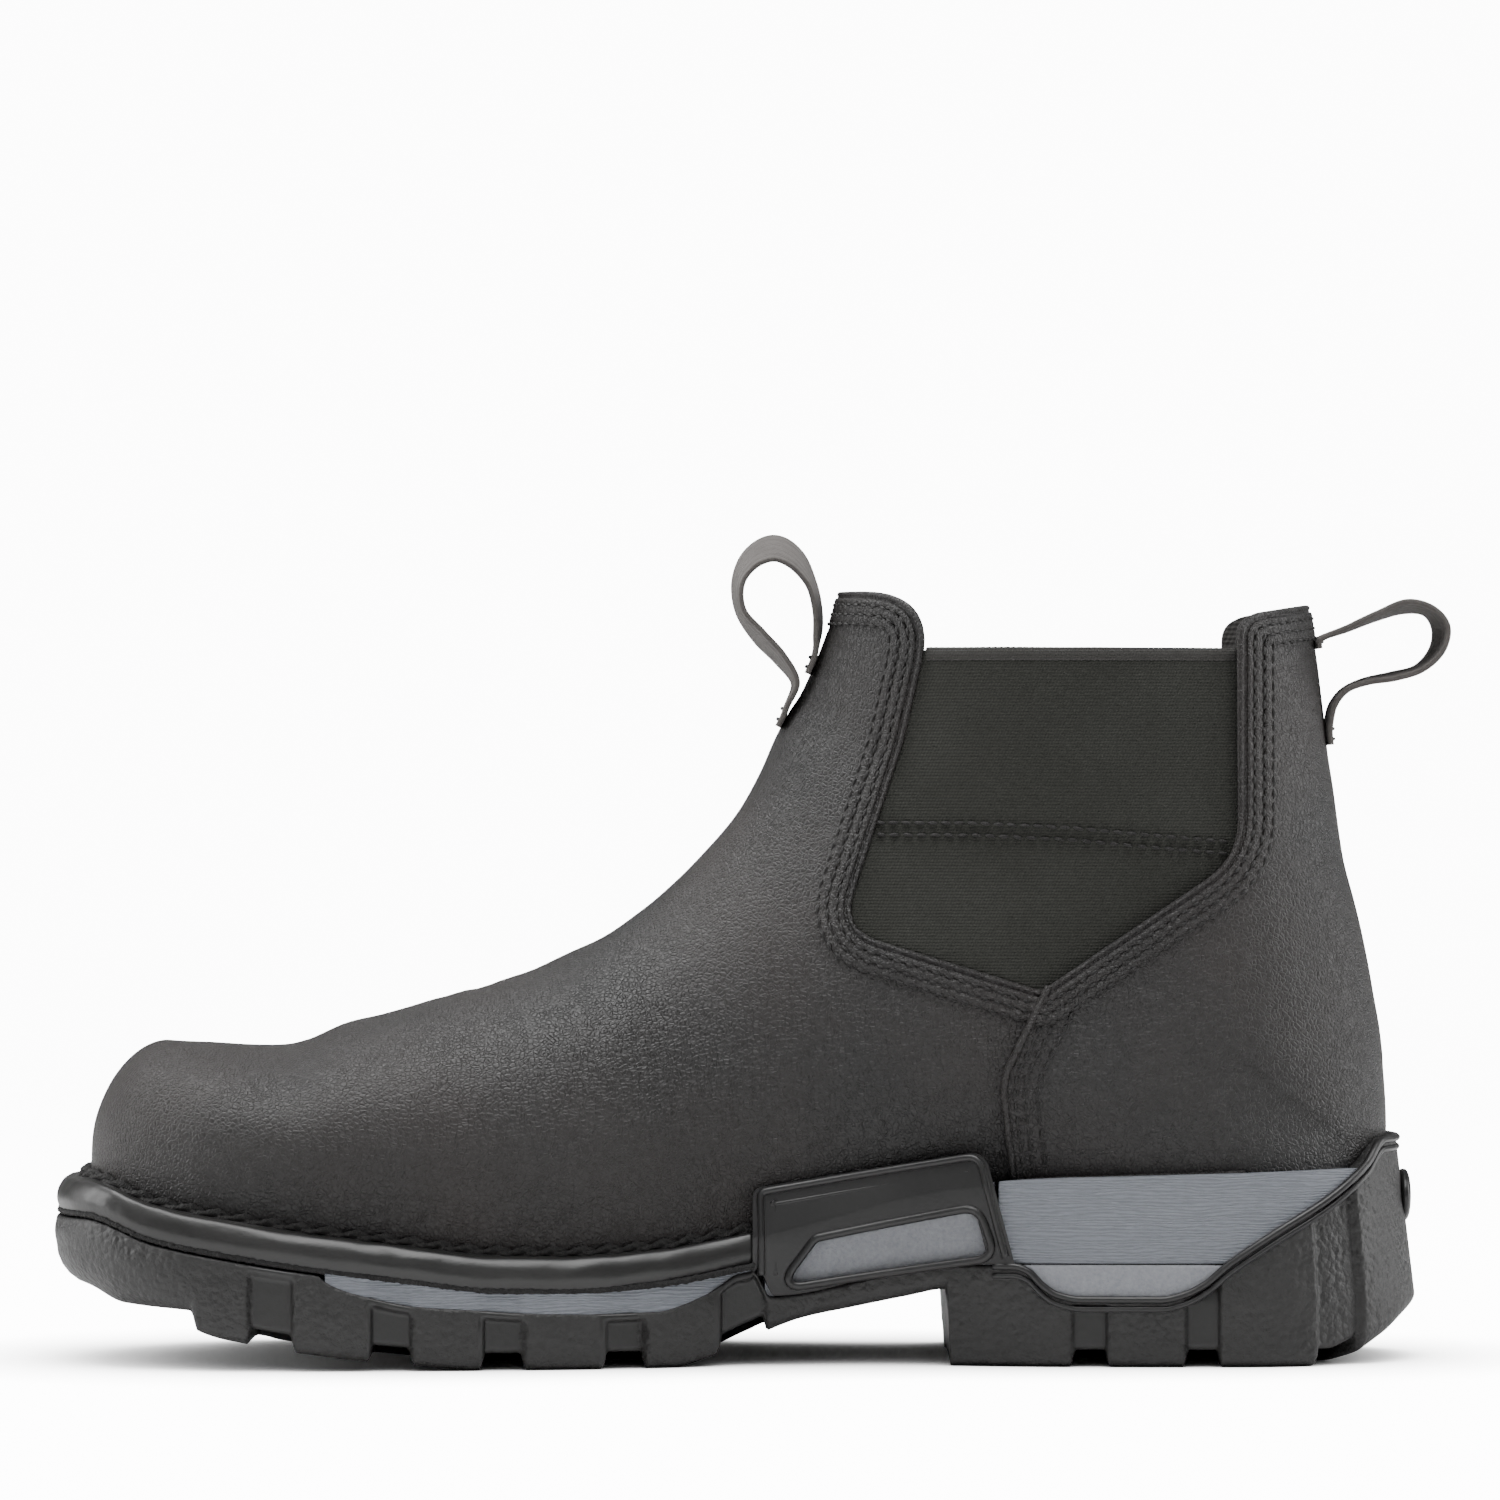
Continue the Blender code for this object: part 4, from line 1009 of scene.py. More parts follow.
class Sheet:
    """Small helper that places nodes in a tree."""

    def __init__(self, tree: bpy.types.NodeTree) -> None:
        """Keep the tree."""
        self.tree = tree

    def add(self, kind: str, values: dict | None = None, **settings: object) -> bpy.types.Node:
        """Place a node.

        Args:
            kind: its type.
            values: numbers, or sockets to link, by the name or number of the input.
            settings: the node's own settings.

        Returns:
            The node.
        """
        node = self.tree.nodes.new(kind)
        for name, value in settings.items():
            setattr(node, name, value)
        for name, value in (values or {}).items():
            socket = node.inputs[name]
            if isinstance(value, bpy.types.NodeSocket):
                self.tree.links.new(value, socket)
            else:
                socket.default_value = value
        return node

    def math(self, operation: str, first: object, second: object = 0.0, third: object = 0.0) -> object:
        """Place a math node."""
        values = {0: first, 1: second, 2: third}
        return self.add("ShaderNodeMath", values, operation=operation).outputs[0]

    def product(self, first: object, second: object) -> object:
        """Place a node that multiplies two numbers or sockets."""
        return self.math("MULTIPLY", first, second)

    def noise(self, vector: object, scale: object, detail: float = 3.0, roughness: float = 0.55) -> object:
        """Place a noise texture."""
        values = {"Vector": vector, "Scale": scale, "Detail": detail, "Roughness": roughness}
        return self.add("ShaderNodeTexNoise", values).outputs[0]

    def cells(self, vector: object, scale: object, feature: str) -> object:
        """Place a cell texture."""
        node = self.add("ShaderNodeTexVoronoi", {"Vector": vector, "Scale": scale}, feature=feature)
        return node.outputs["Distance"]


class PatternSheet(Sheet):
    """The nodes of one pattern, with its coordinates and the number of its features in a metre."""

    def __init__(self, tree: bpy.types.NodeTree) -> None:
        """Start from the group's inputs.

        Args:
            tree: of the group.
        """
        super().__init__(tree)
        start = self.add("NodeGroupInput")
        self.vector = start.outputs["Coordinates"]
        self.scale = self.math("DIVIDE", 1.0, start.outputs["Pitch"])

    def grain(self, share: float, detail: float, roughness: float = 0.55) -> object:
        """Place noise whose features are so many times as many as the pattern's."""
        return self.noise(self.vector, self.product(self.scale, share), detail, roughness)

    def leather(self) -> Sockets:
        """Small pebbles with fine creases between them, and pores.

        Returns:
            The height and the tone.
        """
        drift = self.grain(0.35, 2.0)
        offset = self.product(drift, 0.0016)
        shift = self.add("ShaderNodeCombineXYZ", {"X": offset, "Y": offset, "Z": offset}).outputs[0]
        bent = self.add("ShaderNodeVectorMath", {0: self.vector, 1: shift}, operation="ADD").outputs[0]
        edge = self.cells(bent, self.scale, "DISTANCE_TO_EDGE")
        pebble = self.add("ShaderNodeMapRange", {"Value": edge, "From Max": 0.22}).outputs[0]
        fine = self.grain(3.2, 4.0, 0.65)
        height = self.math("MULTIPLY_ADD", fine, 0.55, self.product(pebble, 0.55))
        tone = self.math("MULTIPLY_ADD", fine, 0.7, self.product(pebble, 0.3))
        return height, tone

    def weave(self) -> Sockets:
        """Fine level yarns crossed by rubber cords.

        Returns:
            The height and the tone.
        """
        split = self.add("ShaderNodeSeparateXYZ", {"Vector": self.vector}).outputs
        round_trip = self.product(self.scale, 2.0 * math.pi)
        wobble = self.product(self.noise(self.vector, 900.0, 2.0), 2.2)
        level = self.math("SINE", self.math("MULTIPLY_ADD", split[2], round_trip, wobble))
        slope = self.math("ADD", split[0], self.product(split[2], 0.45))
        upright = self.math("SINE", self.math("MULTIPLY_ADD", slope, round_trip, wobble))
        both = self.math("MULTIPLY_ADD", upright, 0.6, level)
        fuzz = self.grain(1.6, 3.0, 0.7)
        yarns = self.math("MULTIPLY_ADD", both, 0.22, 0.4)
        height = self.math("ADD", yarns, self.product(fuzz, 0.5))
        return height, height

    def stipple(self) -> Sockets:
        """Moulded grain of small uneven dots.

        Returns:
            The height and the tone.
        """
        dots = self.cells(self.vector, self.scale, "F1")
        rough = self.grain(0.6, 4.0, 0.62)
        pits = self.product(dots, 0.45)
        height = self.math("SUBTRACT", self.product(rough, 1.1), pits)
        return height, rough

    def ribs(self) -> Sockets:
        """Level ribs that waver like the grain of wood.

        Returns:
            The height and the tone.
        """
        values = {0: self.vector, 1: (0.16, 0.16, 1.0)}
        spread = self.add("ShaderNodeVectorMath", values, operation="MULTIPLY")
        wander = self.noise(spread.outputs[0], 340.0, 3.0, 0.6)
        height_z = self.add("ShaderNodeSeparateXYZ", {"Vector": self.vector}).outputs[2]
        turns = self.product(self.product(height_z, self.scale), 2.0 * math.pi)
        wave = self.math("SINE", self.math("MULTIPLY_ADD", wander, 26.0, turns))
        streak = self.noise(spread.outputs[0], self.product(self.scale, 2.2), 4.0, 0.7)
        height = self.math("MULTIPLY_ADD", wave, 0.28, self.product(streak, 0.8))
        return height, height

    def satin(self) -> Sockets:
        """Slightly uneven moulded skin.

        Returns:
            The height and the tone.
        """
        fine = self.noise(self.vector, self.scale, 3.0, 0.6)
        broad = self.grain(0.12, 2.0)
        return self.math("MULTIPLY_ADD", fine, 0.6, self.product(broad, 0.8)), broad

    def thread(self) -> Sockets:
        """Twisted fibres.

        Returns:
            The height and the tone.
        """
        split = self.add("ShaderNodeSeparateXYZ", {"Vector": self.vector}).outputs
        slant = self.math("ADD", self.math("ADD", split[0], split[1]), split[2])
        ply = self.math("SINE", self.product(self.product(slant, self.scale), 2.0 * math.pi))
        fibre = self.grain(2.5, 3.0, 0.7)
        height = self.math("MULTIPLY_ADD", ply, 0.3, fibre)
        return height, fibre

    def patches(self) -> Sockets:
        """Broad soft patches, for wear and uneven dye.

        Returns:
            The height and the tone, which are the same.
        """
        broad = self.noise(self.vector, self.scale, 3.0, 0.5)
        values = {"Value": broad, "From Min": 0.35, "From Max": 0.65}
        graded = self.add("ShaderNodeMapRange", values).outputs[0]
        return graded, graded


class PatternGroups:
    """The patterns that the finishes share, each built once as a node group."""

    def __init__(self) -> None:
        """Build every group."""
        builders = {
            Pattern.LEATHER: PatternSheet.leather,
            Pattern.WEAVE: PatternSheet.weave,
            Pattern.STIPPLE: PatternSheet.stipple,
            Pattern.RIBS: PatternSheet.ribs,
            Pattern.SATIN: PatternSheet.satin,
            Pattern.THREAD: PatternSheet.thread,
        }
        self.groups = {kind: self._group(kind.value, build) for kind, build in builders.items()}
        self.patches = self._group("soft patches", PatternSheet.patches)

    def _group(self, name: str, build: Callable[[PatternSheet], Sockets]) -> bpy.types.NodeTree:
        """Make one group.

        Args:
            name: its name.
            build: the method that makes its nodes, and returns its height and its tone.

        Returns:
            The node group.
        """
        group = bpy.data.node_groups.new(name, "ShaderNodeTree")
        group.interface.new_socket("Coordinates", in_out="INPUT", socket_type="NodeSocketVector")
        size = group.interface.new_socket("Pitch", in_out="INPUT", socket_type="NodeSocketFloat")
        size.default_value = 0.001
        group.interface.new_socket("Height", in_out="OUTPUT", socket_type="NodeSocketFloat")
        group.interface.new_socket("Tone", in_out="OUTPUT", socket_type="NodeSocketFloat")
        sheet = PatternSheet(group)
        height, tone = build(sheet)
        sheet.add("NodeGroupOutput", {"Height": height, "Tone": tone})
        return group


@dataclass(frozen=True)
class Finish:
    """One finish of the boot.

    dark, light: colours in the hollows and on the crowns. warm: the colour of its patches.
    pitch: the pattern's size. depth: its height. patch: the size of its patches.
    """

    name: str
    pattern: Pattern
    dark: tuple[float, float, float]
    light: tuple[float, float, float]
    warm: tuple[float, float, float]
    pitch: float
    depth: float
    rough_low: float
    rough_high: float
    patch: float = 0.030
    warmth: float = 0.5
    coat: float = 0.0
    coat_roughness: float = 0.3
    sheen: float = 0.0
    specular: float = 0.5
    coordinates: Coordinates = Coordinates.OBJECT

    def material(self, groups: PatternGroups) -> bpy.types.Material:
        """Make the material.

        Args:
            groups: the shared patterns.

        Returns:
            The material.
        """
        material = bpy.data.materials.new(self.name)
        material.use_nodes = True
        sheet = Sheet(material.node_tree)
        shader = material.node_tree.nodes["Principled BSDF"]
        vector = sheet.add("ShaderNodeTexCoord").outputs[self.coordinates.value]
        pattern = sheet.add("ShaderNodeGroup", node_tree=groups.groups[self.pattern])
        patches = sheet.add("ShaderNodeGroup", node_tree=groups.patches)
        for node, pitch in ((pattern, self.pitch), (patches, self.patch)):
            material.node_tree.links.new(vector, node.inputs["Coordinates"])
            node.inputs["Pitch"].default_value = pitch
        tone, patch = pattern.outputs["Tone"], patches.outputs["Tone"]
        values = {0: tone, 6: (*self.dark, 1.0), 7: (*self.light, 1.0)}
        body = sheet.add("ShaderNodeMix", values, data_type="RGBA").outputs[2]
        share = sheet.product(patch, self.warmth)
        values = {0: share, 6: body, 7: (*self.warm, 1.0)}
        colour = sheet.add("ShaderNodeMix", values, data_type="RGBA").outputs[2]
        blend = sheet.math("MULTIPLY_ADD", patch, 0.5, sheet.product(tone, 0.5))
        values = {"Value": blend, "To Min": self.rough_low, "To Max": self.rough_high}
        roughness = sheet.add("ShaderNodeMapRange", values).outputs[0]
        values = {"Height": pattern.outputs["Height"], "Distance": self.depth, "Strength": 1.0}
        bump = sheet.add("ShaderNodeBump", values).outputs[0]
        for name, socket in (("Base Color", colour), ("Roughness", roughness), ("Normal", bump)):
            material.node_tree.links.new(socket, shader.inputs[name])
        shader.inputs["Coat Weight"].default_value = self.coat
        shader.inputs["Coat Roughness"].default_value = self.coat_roughness
        shader.inputs["Sheen Weight"].default_value = self.sheen
        shader.inputs["Specular IOR Level"].default_value = self.specular
        return material


LEATHER = Finish(
    "oiled_leather", Pattern.LEATHER, (0.0062, 0.0058, 0.0056), (0.0135, 0.0127, 0.0122),
    (0.0250, 0.0185, 0.0165), 0.00100, 0.00026, 0.33, 0.48, patch=0.045, warmth=0.45, specular=0.50,
)
LINING = Finish(
    "lining_cloth", Pattern.WEAVE, (0.020, 0.019, 0.018), (0.046, 0.044, 0.041),
    (0.040, 0.037, 0.034), 0.0011, 0.00022, 0.85, 0.97, sheen=0.2,
)
ELASTIC = Finish(
    "elastic_weave", Pattern.WEAVE, (0.0080, 0.0085, 0.0070), (0.0400, 0.0410, 0.0350),
    (0.0220, 0.0225, 0.0190), 0.00072, 0.00028, 0.80, 0.95, patch=0.020, warmth=0.3, sheen=0.04,
    specular=0.3,
)
BINDING = Finish(
    "folded_binding", Pattern.WEAVE, (0.014, 0.0135, 0.0125), (0.050, 0.048, 0.044),
    (0.030, 0.029, 0.026), 0.00060, 0.00020, 0.78, 0.92, sheen=0.05,
)
THREAD = Finish(
    "sewing_thread", Pattern.THREAD, (0.0030, 0.0028, 0.0027), (0.0220, 0.0200, 0.0190),
    (0.0080, 0.0075, 0.0070), 0.00045, 0.00010, 0.40, 0.58, patch=0.006, warmth=0.4,
)
ROPE = Finish(
    "welt_cord", Pattern.THREAD, (0.0050, 0.0048, 0.0045), (0.0300, 0.0290, 0.0275),
    (0.0120, 0.0115, 0.0110), 0.00060, 0.00040, 0.60, 0.85, patch=0.008, warmth=0.4,
)
WELT_RUBBER = Finish(
    "welt_rubber", Pattern.SATIN, (0.0110, 0.0110, 0.0108), (0.0180, 0.0178, 0.0174),
    (0.0240, 0.0225, 0.0220), 0.0016, 0.00010, 0.30, 0.46, patch=0.020, warmth=0.4,
)
# Near-black matte finish that paints shade: the painted shadow line under the welt and the painted shade in
# the midsole's divider groove.
PAINTED_SHADE = Finish(
    "painted_shade_matte", Pattern.STIPPLE, (0.0040, 0.0040, 0.0040), (0.0220, 0.0215, 0.0215),
    (0.0100, 0.0100, 0.0100), 0.0008, 0.00060, 0.80, 0.97, patch=0.006,
)
FRAME_PLASTIC = Finish(
    "frame_plastic", Pattern.SATIN, (0.0095, 0.0095, 0.0098), (0.0150, 0.0150, 0.0152),
    (0.0200, 0.0192, 0.0190), 0.0016, 0.00008, 0.30, 0.46, patch=0.018, warmth=0.4,
)
TREAD_RUBBER = Finish(
    "tread_rubber", Pattern.STIPPLE, (0.0095, 0.0095, 0.0095), (0.0210, 0.0207, 0.0202),
    (0.0280, 0.0270, 0.0262), 0.00150, 0.00055, 0.42, 0.60, patch=0.016, warmth=0.45,
)
GROOVE_RUBBER = Finish(
    "groove_rubber", Pattern.SATIN, (0.0100, 0.0100, 0.0100), (0.0170, 0.0168, 0.0165),
    (0.0220, 0.0215, 0.0210), 0.0012, 0.00009, 0.34, 0.50, patch=0.014, warmth=0.4,
)
RIBBED_FOAM = Finish(
    "ribbed_foam", Pattern.RIBS, (0.130, 0.140, 0.160), (0.230, 0.245, 0.275),
    (0.180, 0.192, 0.218), 0.00070, 0.00020, 0.50, 0.66, patch=0.030, warmth=0.3,
)
STIPPLED_FOAM = Finish(
    "stippled_foam", Pattern.STIPPLE, (0.160, 0.166, 0.184), (0.330, 0.338, 0.366),
    (0.235, 0.243, 0.266), 0.00055, 0.00016, 0.55, 0.72, patch=0.010, warmth=0.25,
)
WEBBING = Finish(
    "loop_webbing", Pattern.WEAVE, (0.018, 0.0165, 0.0155), (0.110, 0.101, 0.095),
    (0.050, 0.045, 0.042), 0.00095, 0.00030, 0.80, 0.95, patch=0.010, warmth=0.3, sheen=0.05,
    coordinates=Coordinates.UV,
)
FOOTBED = Finish(
    "footbed_foam", Pattern.STIPPLE, (0.030, 0.029, 0.027), (0.060, 0.057, 0.053),
    (0.048, 0.045, 0.042), 0.0014, 0.00025, 0.85, 0.96, patch=0.020, sheen=0.2,
)


class Finishes:
    """The materials of the boot, each made when it is first asked for."""

    def __init__(self) -> None:
        """Make the patterns."""
        self.groups = PatternGroups()

    @functools.lru_cache(maxsize=None)
    def of(self, finish: Finish) -> bpy.types.Material:
        """Material of a finish."""
        return finish.material(self.groups)


def deliver(piece: Piece, slot: str, *nodes: str) -> Piece:
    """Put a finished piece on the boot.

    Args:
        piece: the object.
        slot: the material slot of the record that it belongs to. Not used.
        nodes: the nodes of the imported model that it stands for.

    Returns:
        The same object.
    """
    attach(piece, "root")
    if nodes:
        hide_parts(*nodes)
    piece.data.calc_loop_triangles()
    LOG.info("%s: %d triangles", piece.name, len(piece.data.loop_triangles))
    return piece


@dataclass(eq=False)
class Stitches:
    """Runs of single stitches, joined to one piece."""

    pitch: float = 0.00305
    length: float = 0.0024
    thickness: float = 0.00080
    sunk: float = 0.15

    def __post_init__(self) -> None:
        """Form one stitch, and start with none sewn."""
        self.mesh = bmesh.new()
        form = bmesh.new()
        bmesh.ops.create_uvsphere(form, u_segments=8, v_segments=6, radius=0.5)
        for vert in form.verts:
            x, y, z = vert.co.z, vert.co.x, vert.co.y
            end = 1.0 - 0.35 * (2.0 * x) ** 4
            lift = self.thickness * (z * end + 0.5 - self.sunk) - 0.00035 * (2.0 * x) ** 2
            vert.co = Vector((x * self.length, y * self.thickness * end, lift))
        self.form = new_mesh(form, "stitch")

    def run(self, line: Line) -> None:
        """Sew along a line.

        Args:
            line: where to sew.
        """
        count = max(1, round(line.length / self.pitch))
        for i in range(count):
            spot, along, across = line.frame_at((i + 0.5) * line.length / count, 0.5 * self.length)
            self.stitch(spot, along, across, i)

    def stitch(self, spot: Spot, along: Vector, across: Vector, number: int) -> None:
        """Add one stitch.

        Args:
            spot: its middle.
            along: its direction.
            across: the direction beside it.
            number: of the stitch, which sets its small slant.
        """
        slant = 0.10 * math.sin(2.4 * number) + 0.10
        lengthwise = (along + across * slant).normalized()
        sideways = lengthwise.cross(spot.normal).normalized()
        seat = Matrix((lengthwise, sideways, spot.normal)).transposed().to_4x4()
        seat.translation = spot.place
        copy = self.form.copy()
        copy.transform(seat)
        self.mesh.from_mesh(copy)
        bpy.data.meshes.remove(copy)


@dataclass(eq=False)
class Upper:
    """Leather upper: vamp, heel quarter, elastic gores and their seams."""

    last: Last
    finishes: Finishes
    wall: float = 0.0026
    quarter_gap: float = 0.0003
    quarter_wall: float = 0.0014
    gore_recess: float = 0.0008
    gore_wall: float = 0.0016
    gore_top: float = 0.1170
    gore_ends: Pair = (0.3540, 0.1120)
    rows_from_edge: tuple[float, ...] = (0.0029, 0.0051, 0.0073)
    rows_on_quarter: tuple[float, ...] = (0.0029, 0.0051, 0.0079)
    rows_on_gore: tuple[float, ...] = (0.0, 0.0027)
    spacing: float = 0.0008
    swell_height: float = 0.00042
    ripple_height: float = 0.00012
    crease_height: float = 0.00034
    crease_pitch: float = 0.0085
    flex_middle: float = 0.140
    flex_reach: float = 0.020

    def __post_init__(self) -> None:
        """Draw the outlines and the surface that seams lie on."""
        self.collar = self.last.upper_outline(COLLAR_CUT)
        self.quarter_area = self.last.upper_outline(QUARTER_AREA)
        mesh = self.last.skin((260, 180), (-6.0, 22.0), 0.0, self.relief)
        self.surface = BVHTree.FromBMesh(mesh)
        mesh.free()

    def relief(self, point: Vector) -> float:
        """Soft unevenness and creases of worn leather.

        Args:
            point: on the last.

        Returns:
            How far the leather stands off the last.
        """
        height = point.z - self.last.feather(self.last.share_at(point.x))
        fade = soft_step(height, 0.002, 0.016)
        flow = noise.noise(Vector((point.x * 28.0, point.y * 28.0, point.z * 28.0)))
        ripple = noise.noise(Vector((point.x * 95.0 + 4.0, point.y * 60.0, point.z * 95.0)))
        away = (point.x - self.flex_middle) / self.flex_reach
        flex = math.exp(-(away**2)) * soft_step(point.z, 0.050, 0.070)
        slant = (point.x + 0.55 * point.z) * 2.0 * math.pi / self.crease_pitch
        crease = math.sin(slant + 5.0 * flow) * flex * (0.6 + 0.8 * ripple)
        swell = self.swell_height * flow
        return fade * (swell + self.ripple_height * ripple + self.crease_height * crease)

    @property
    def quarter_lift(self) -> float:
        """How far the quarter's face stands off the vamp's."""
        return self.quarter_gap + self.quarter_wall

    def in_quarter(self, x: float, z: float) -> bool:
        """Whether a place, seen from the side, lies on the heel quarter."""
        inside = False
        for a, b in zip(self.quarter_area, self.quarter_area[1:] + self.quarter_area[:1]):
            if (a.y > z) != (b.y > z) and x < (b.x - a.x) * (z - a.y) / (b.y - a.y) + a.x:
                inside = not inside
        return inside

    def seat(self, place: Vector, lift: float) -> Spot:
        """Nearest spot on the leather."""
        found, normal, _, _ = self.surface.find_nearest(place)
        return Spot(found + normal * lift, normal)

    def hits(self, points: Sequence[Vector], side: float) -> list[Vector]:
        """Points on one side of the boot that cover the points of a side view.

        Args:
            points: x and z.
            side: 1 on the inner side and -1 on the outer side.

        Returns:
            The points that the boot has.
        """
        found = []
        for point in points:
            start = Vector((point.x, side * 0.3, point.y))
            place = self.surface.ray_cast(start, Vector((0.0, -side, 0.0)))[0]
            if place is not None and place.y * side > -0.004:
                found.append(place)
        return found

    def seam(self, points: Sequence[Vector], side: float, lift: float) -> Line:
        """Line on one side of the boot."""
        return Line([self.seat(place, lift) for place in self.hits(dense(points, self.spacing), side)])

    def collar_loop(self, outward: float, lift: float) -> Line:
        """Closed line round the whole collar, at a distance from its cut.

        Args:
            outward: the distance from the cut, into the leather.
            lift: the distance off the leather's surface.

        Returns:
            The line.
        """
        outline = moved_outline(self.collar, outward)[:-2]
        points = dense(outline, self.spacing)
        inner = self.hits(points, 1.0)
        outer = self.hits(points, -1.0)
        ring = inner + outer[::-1]
        rough = Line([Spot(place, Vector((0.0, 0.0, 1.0))) for place in ring], closed=True)
        count = round(rough.length / 0.0012)
        spots = []
        for i in range(count):
            place = rough.at(i * rough.length / count).place
            spots.append(self.seat(place, lift + self.cover(place)))
        return Line(spots, closed=True)

    def cover(self, place: Vector) -> float:
        """How far the heel quarter stands off the vamp's surface at a place, 0 beyond it."""
        return self.quarter_lift if self.in_quarter(place.x, place.z) else 0.0

    def shell(
        self, name: str, steps: tuple[int, int], orders: Pair, sizes: Pair, materials: Sequence[Finish]
    ) -> Piece:
        """Wall over the last.

        Args:
            name: of the piece.
            steps: along the boot and round it.
            orders: the first and the last section.
            sizes: its outer distance from the last and its thickness.
            materials: outside and inside.

        Returns:
            The piece, before it is cut.
        """
        mesh = self.last.skin(steps, orders, sizes[0], self.relief)
        piece = new_piece(name, mesh, *[self.finishes.of(finish) for finish in materials])
        add_wall(piece, sizes[1], len(materials) - 1)
        return piece

    def vamp(self) -> None:
        """Leather from the toe to the collar."""
        piece = self.shell("vamp_leather", (200, 140), (-6.0, 22.0), (0.0, self.wall), (LEATHER, LINING))
        cut(piece, [("DIFFERENCE", prism("collar", self.collar))])
        deliver(piece, "leather", "upper")

    def quarter(self) -> None:
        """Leather round the heel, over the vamp."""
        sizes = (self.quarter_lift, self.quarter_wall)
        piece = self.shell("quarter_leather", (150, 140), (9.0, 22.0), sizes, (LEATHER,))
        tools = [
            ("INTERSECT", prism("quarter", self.quarter_area)),
            ("DIFFERENCE", prism("collar", self.collar)),
        ]
        cut(piece, tools, solver="MANIFOLD")
        deliver(piece, "leather", "heel_quarter")

    def gores(self) -> None:
        """Elastic on both sides, with its folded top."""
        top = self.last.seat_height + self.gore_top
        reach = moved_outline(self.collar, self.gore_wall)
        edge = [Vector((self.last.x_at(share), top)) for share in self.gore_ends]
        up = Vector((0.0, 0.0, 1.0))
        for word, node, side in (("inner", "gore_medial", 1.0), ("outer", "gore_lateral", -1.0)):
            near, far = (0.0, ACROSS) if side > 0.0 else (-ACROSS, 0.0)
            sizes = (-self.gore_recess, self.gore_wall)
            piece = self.shell(f"gore_{word}", (120, 140), (9.0, 22.0), sizes, (ELASTIC, ELASTIC))
            lid = [Vector((-0.1, top)), Vector((0.2, top)), Vector((0.2, 0.3)), Vector((-0.1, 0.3))]
            cut(piece, [("INTERSECT", prism("gore", reach, near, far)), ("DIFFERENCE", prism("lid", lid))])
            deliver(piece, "elastic", node)
            line = self.seam(edge, side, -self.gore_recess - 0.5 * self.gore_wall)
            turn = math.copysign(1.0, line.frame_at(0.5 * line.length)[2].dot(up))
            mesh = swept_bead(line, [(turn * out, rise) for out, rise in BINDING_SECTION])
            bmesh.ops.subdivide_edges(mesh, edges=mesh.edges, cuts=1, smooth=0.0)
            relax(mesh, mesh.verts, 1)
            deliver(new_piece(f"gore_binding_{word}", mesh, self.finishes.of(BINDING)), "elastic")

    def edges(self) -> None:
        """Folded edges of the leather and the soft ribs between the stitch rows."""
        mesh = bmesh.new()
        leather = self.finishes.of(LEATHER)
        parts = [swept_bead(self.collar_loop(0.0004, -0.0011), round_section(0.0007, 0.0014, 0.2))]
        rows = (0.0014,) + self.rows_from_edge
        for near, far in zip(rows, rows[1:]):
            line = self.collar_loop(0.5 * (near + far), 0.0)
            parts.append(swept_bead(line, round_section(0.52 * (far - near), 0.00055, 0.6, 12)))
        for side in (1.0, -1.0):
            line = self.seam(self.quarter_front(0.0006), side, 0.5 * self.quarter_lift)
            parts.append(swept_bead(line, round_section(0.0009, 0.0016, 0.2)))
        for part in parts:
            self.join(mesh, part)
        deliver(new_piece("leather_edges", mesh, leather), "leather")

    def quarter_front(self, inward: float) -> list[Vector]:
        """Front edge of the quarter, from the sole to the gore.

        Args:
            inward: the distance from the edge, into the quarter.

        Returns:
            Points of x and z.
        """
        outline = dense(moved_outline(self.quarter_area, -inward), 0.0010)
        low = self.last.seat_height - 0.0016
        high = self.last.seat_height + 0.3270 * self.last.upper_height
        return [point for point in outline if low < point.y < high and point.x > 0.010]

    @staticmethod
    def join(mesh: Form, part: Form) -> None:
        """Move a part's faces into another mesh.

        Args:
            mesh: the mesh that grows.
            part: the mesh that is used up.
        """
        data = new_mesh(part, "part")
        mesh.from_mesh(data)
        bpy.data.meshes.remove(data)

    def sewing(self) -> None:
        """Every row of stitches on the upper."""
        stitches = Stitches()
        for distance in self.rows_from_edge:
            stitches.run(self.collar_loop(distance, 0.0001))
        for side in (1.0, -1.0):
            for distance in self.rows_on_quarter:
                stitches.run(self.seam(self.quarter_front(distance), side, self.quarter_lift))
            for drop in self.rows_on_gore:
                points = [Vector((x, z - drop)) for x, z in GORE_SEAM]
                stitches.run(self.seam(points, side, -self.gore_recess + 0.0003))
        piece = new_piece("upper_stitches", closed_outward(stitches.mesh), self.finishes.of(THREAD))
        deliver(piece, "leather")

    def build(self) -> None:
        """Make every piece of the upper."""
        self.vamp()
        self.quarter()
        self.gores()
        self.edges()
        self.sewing()


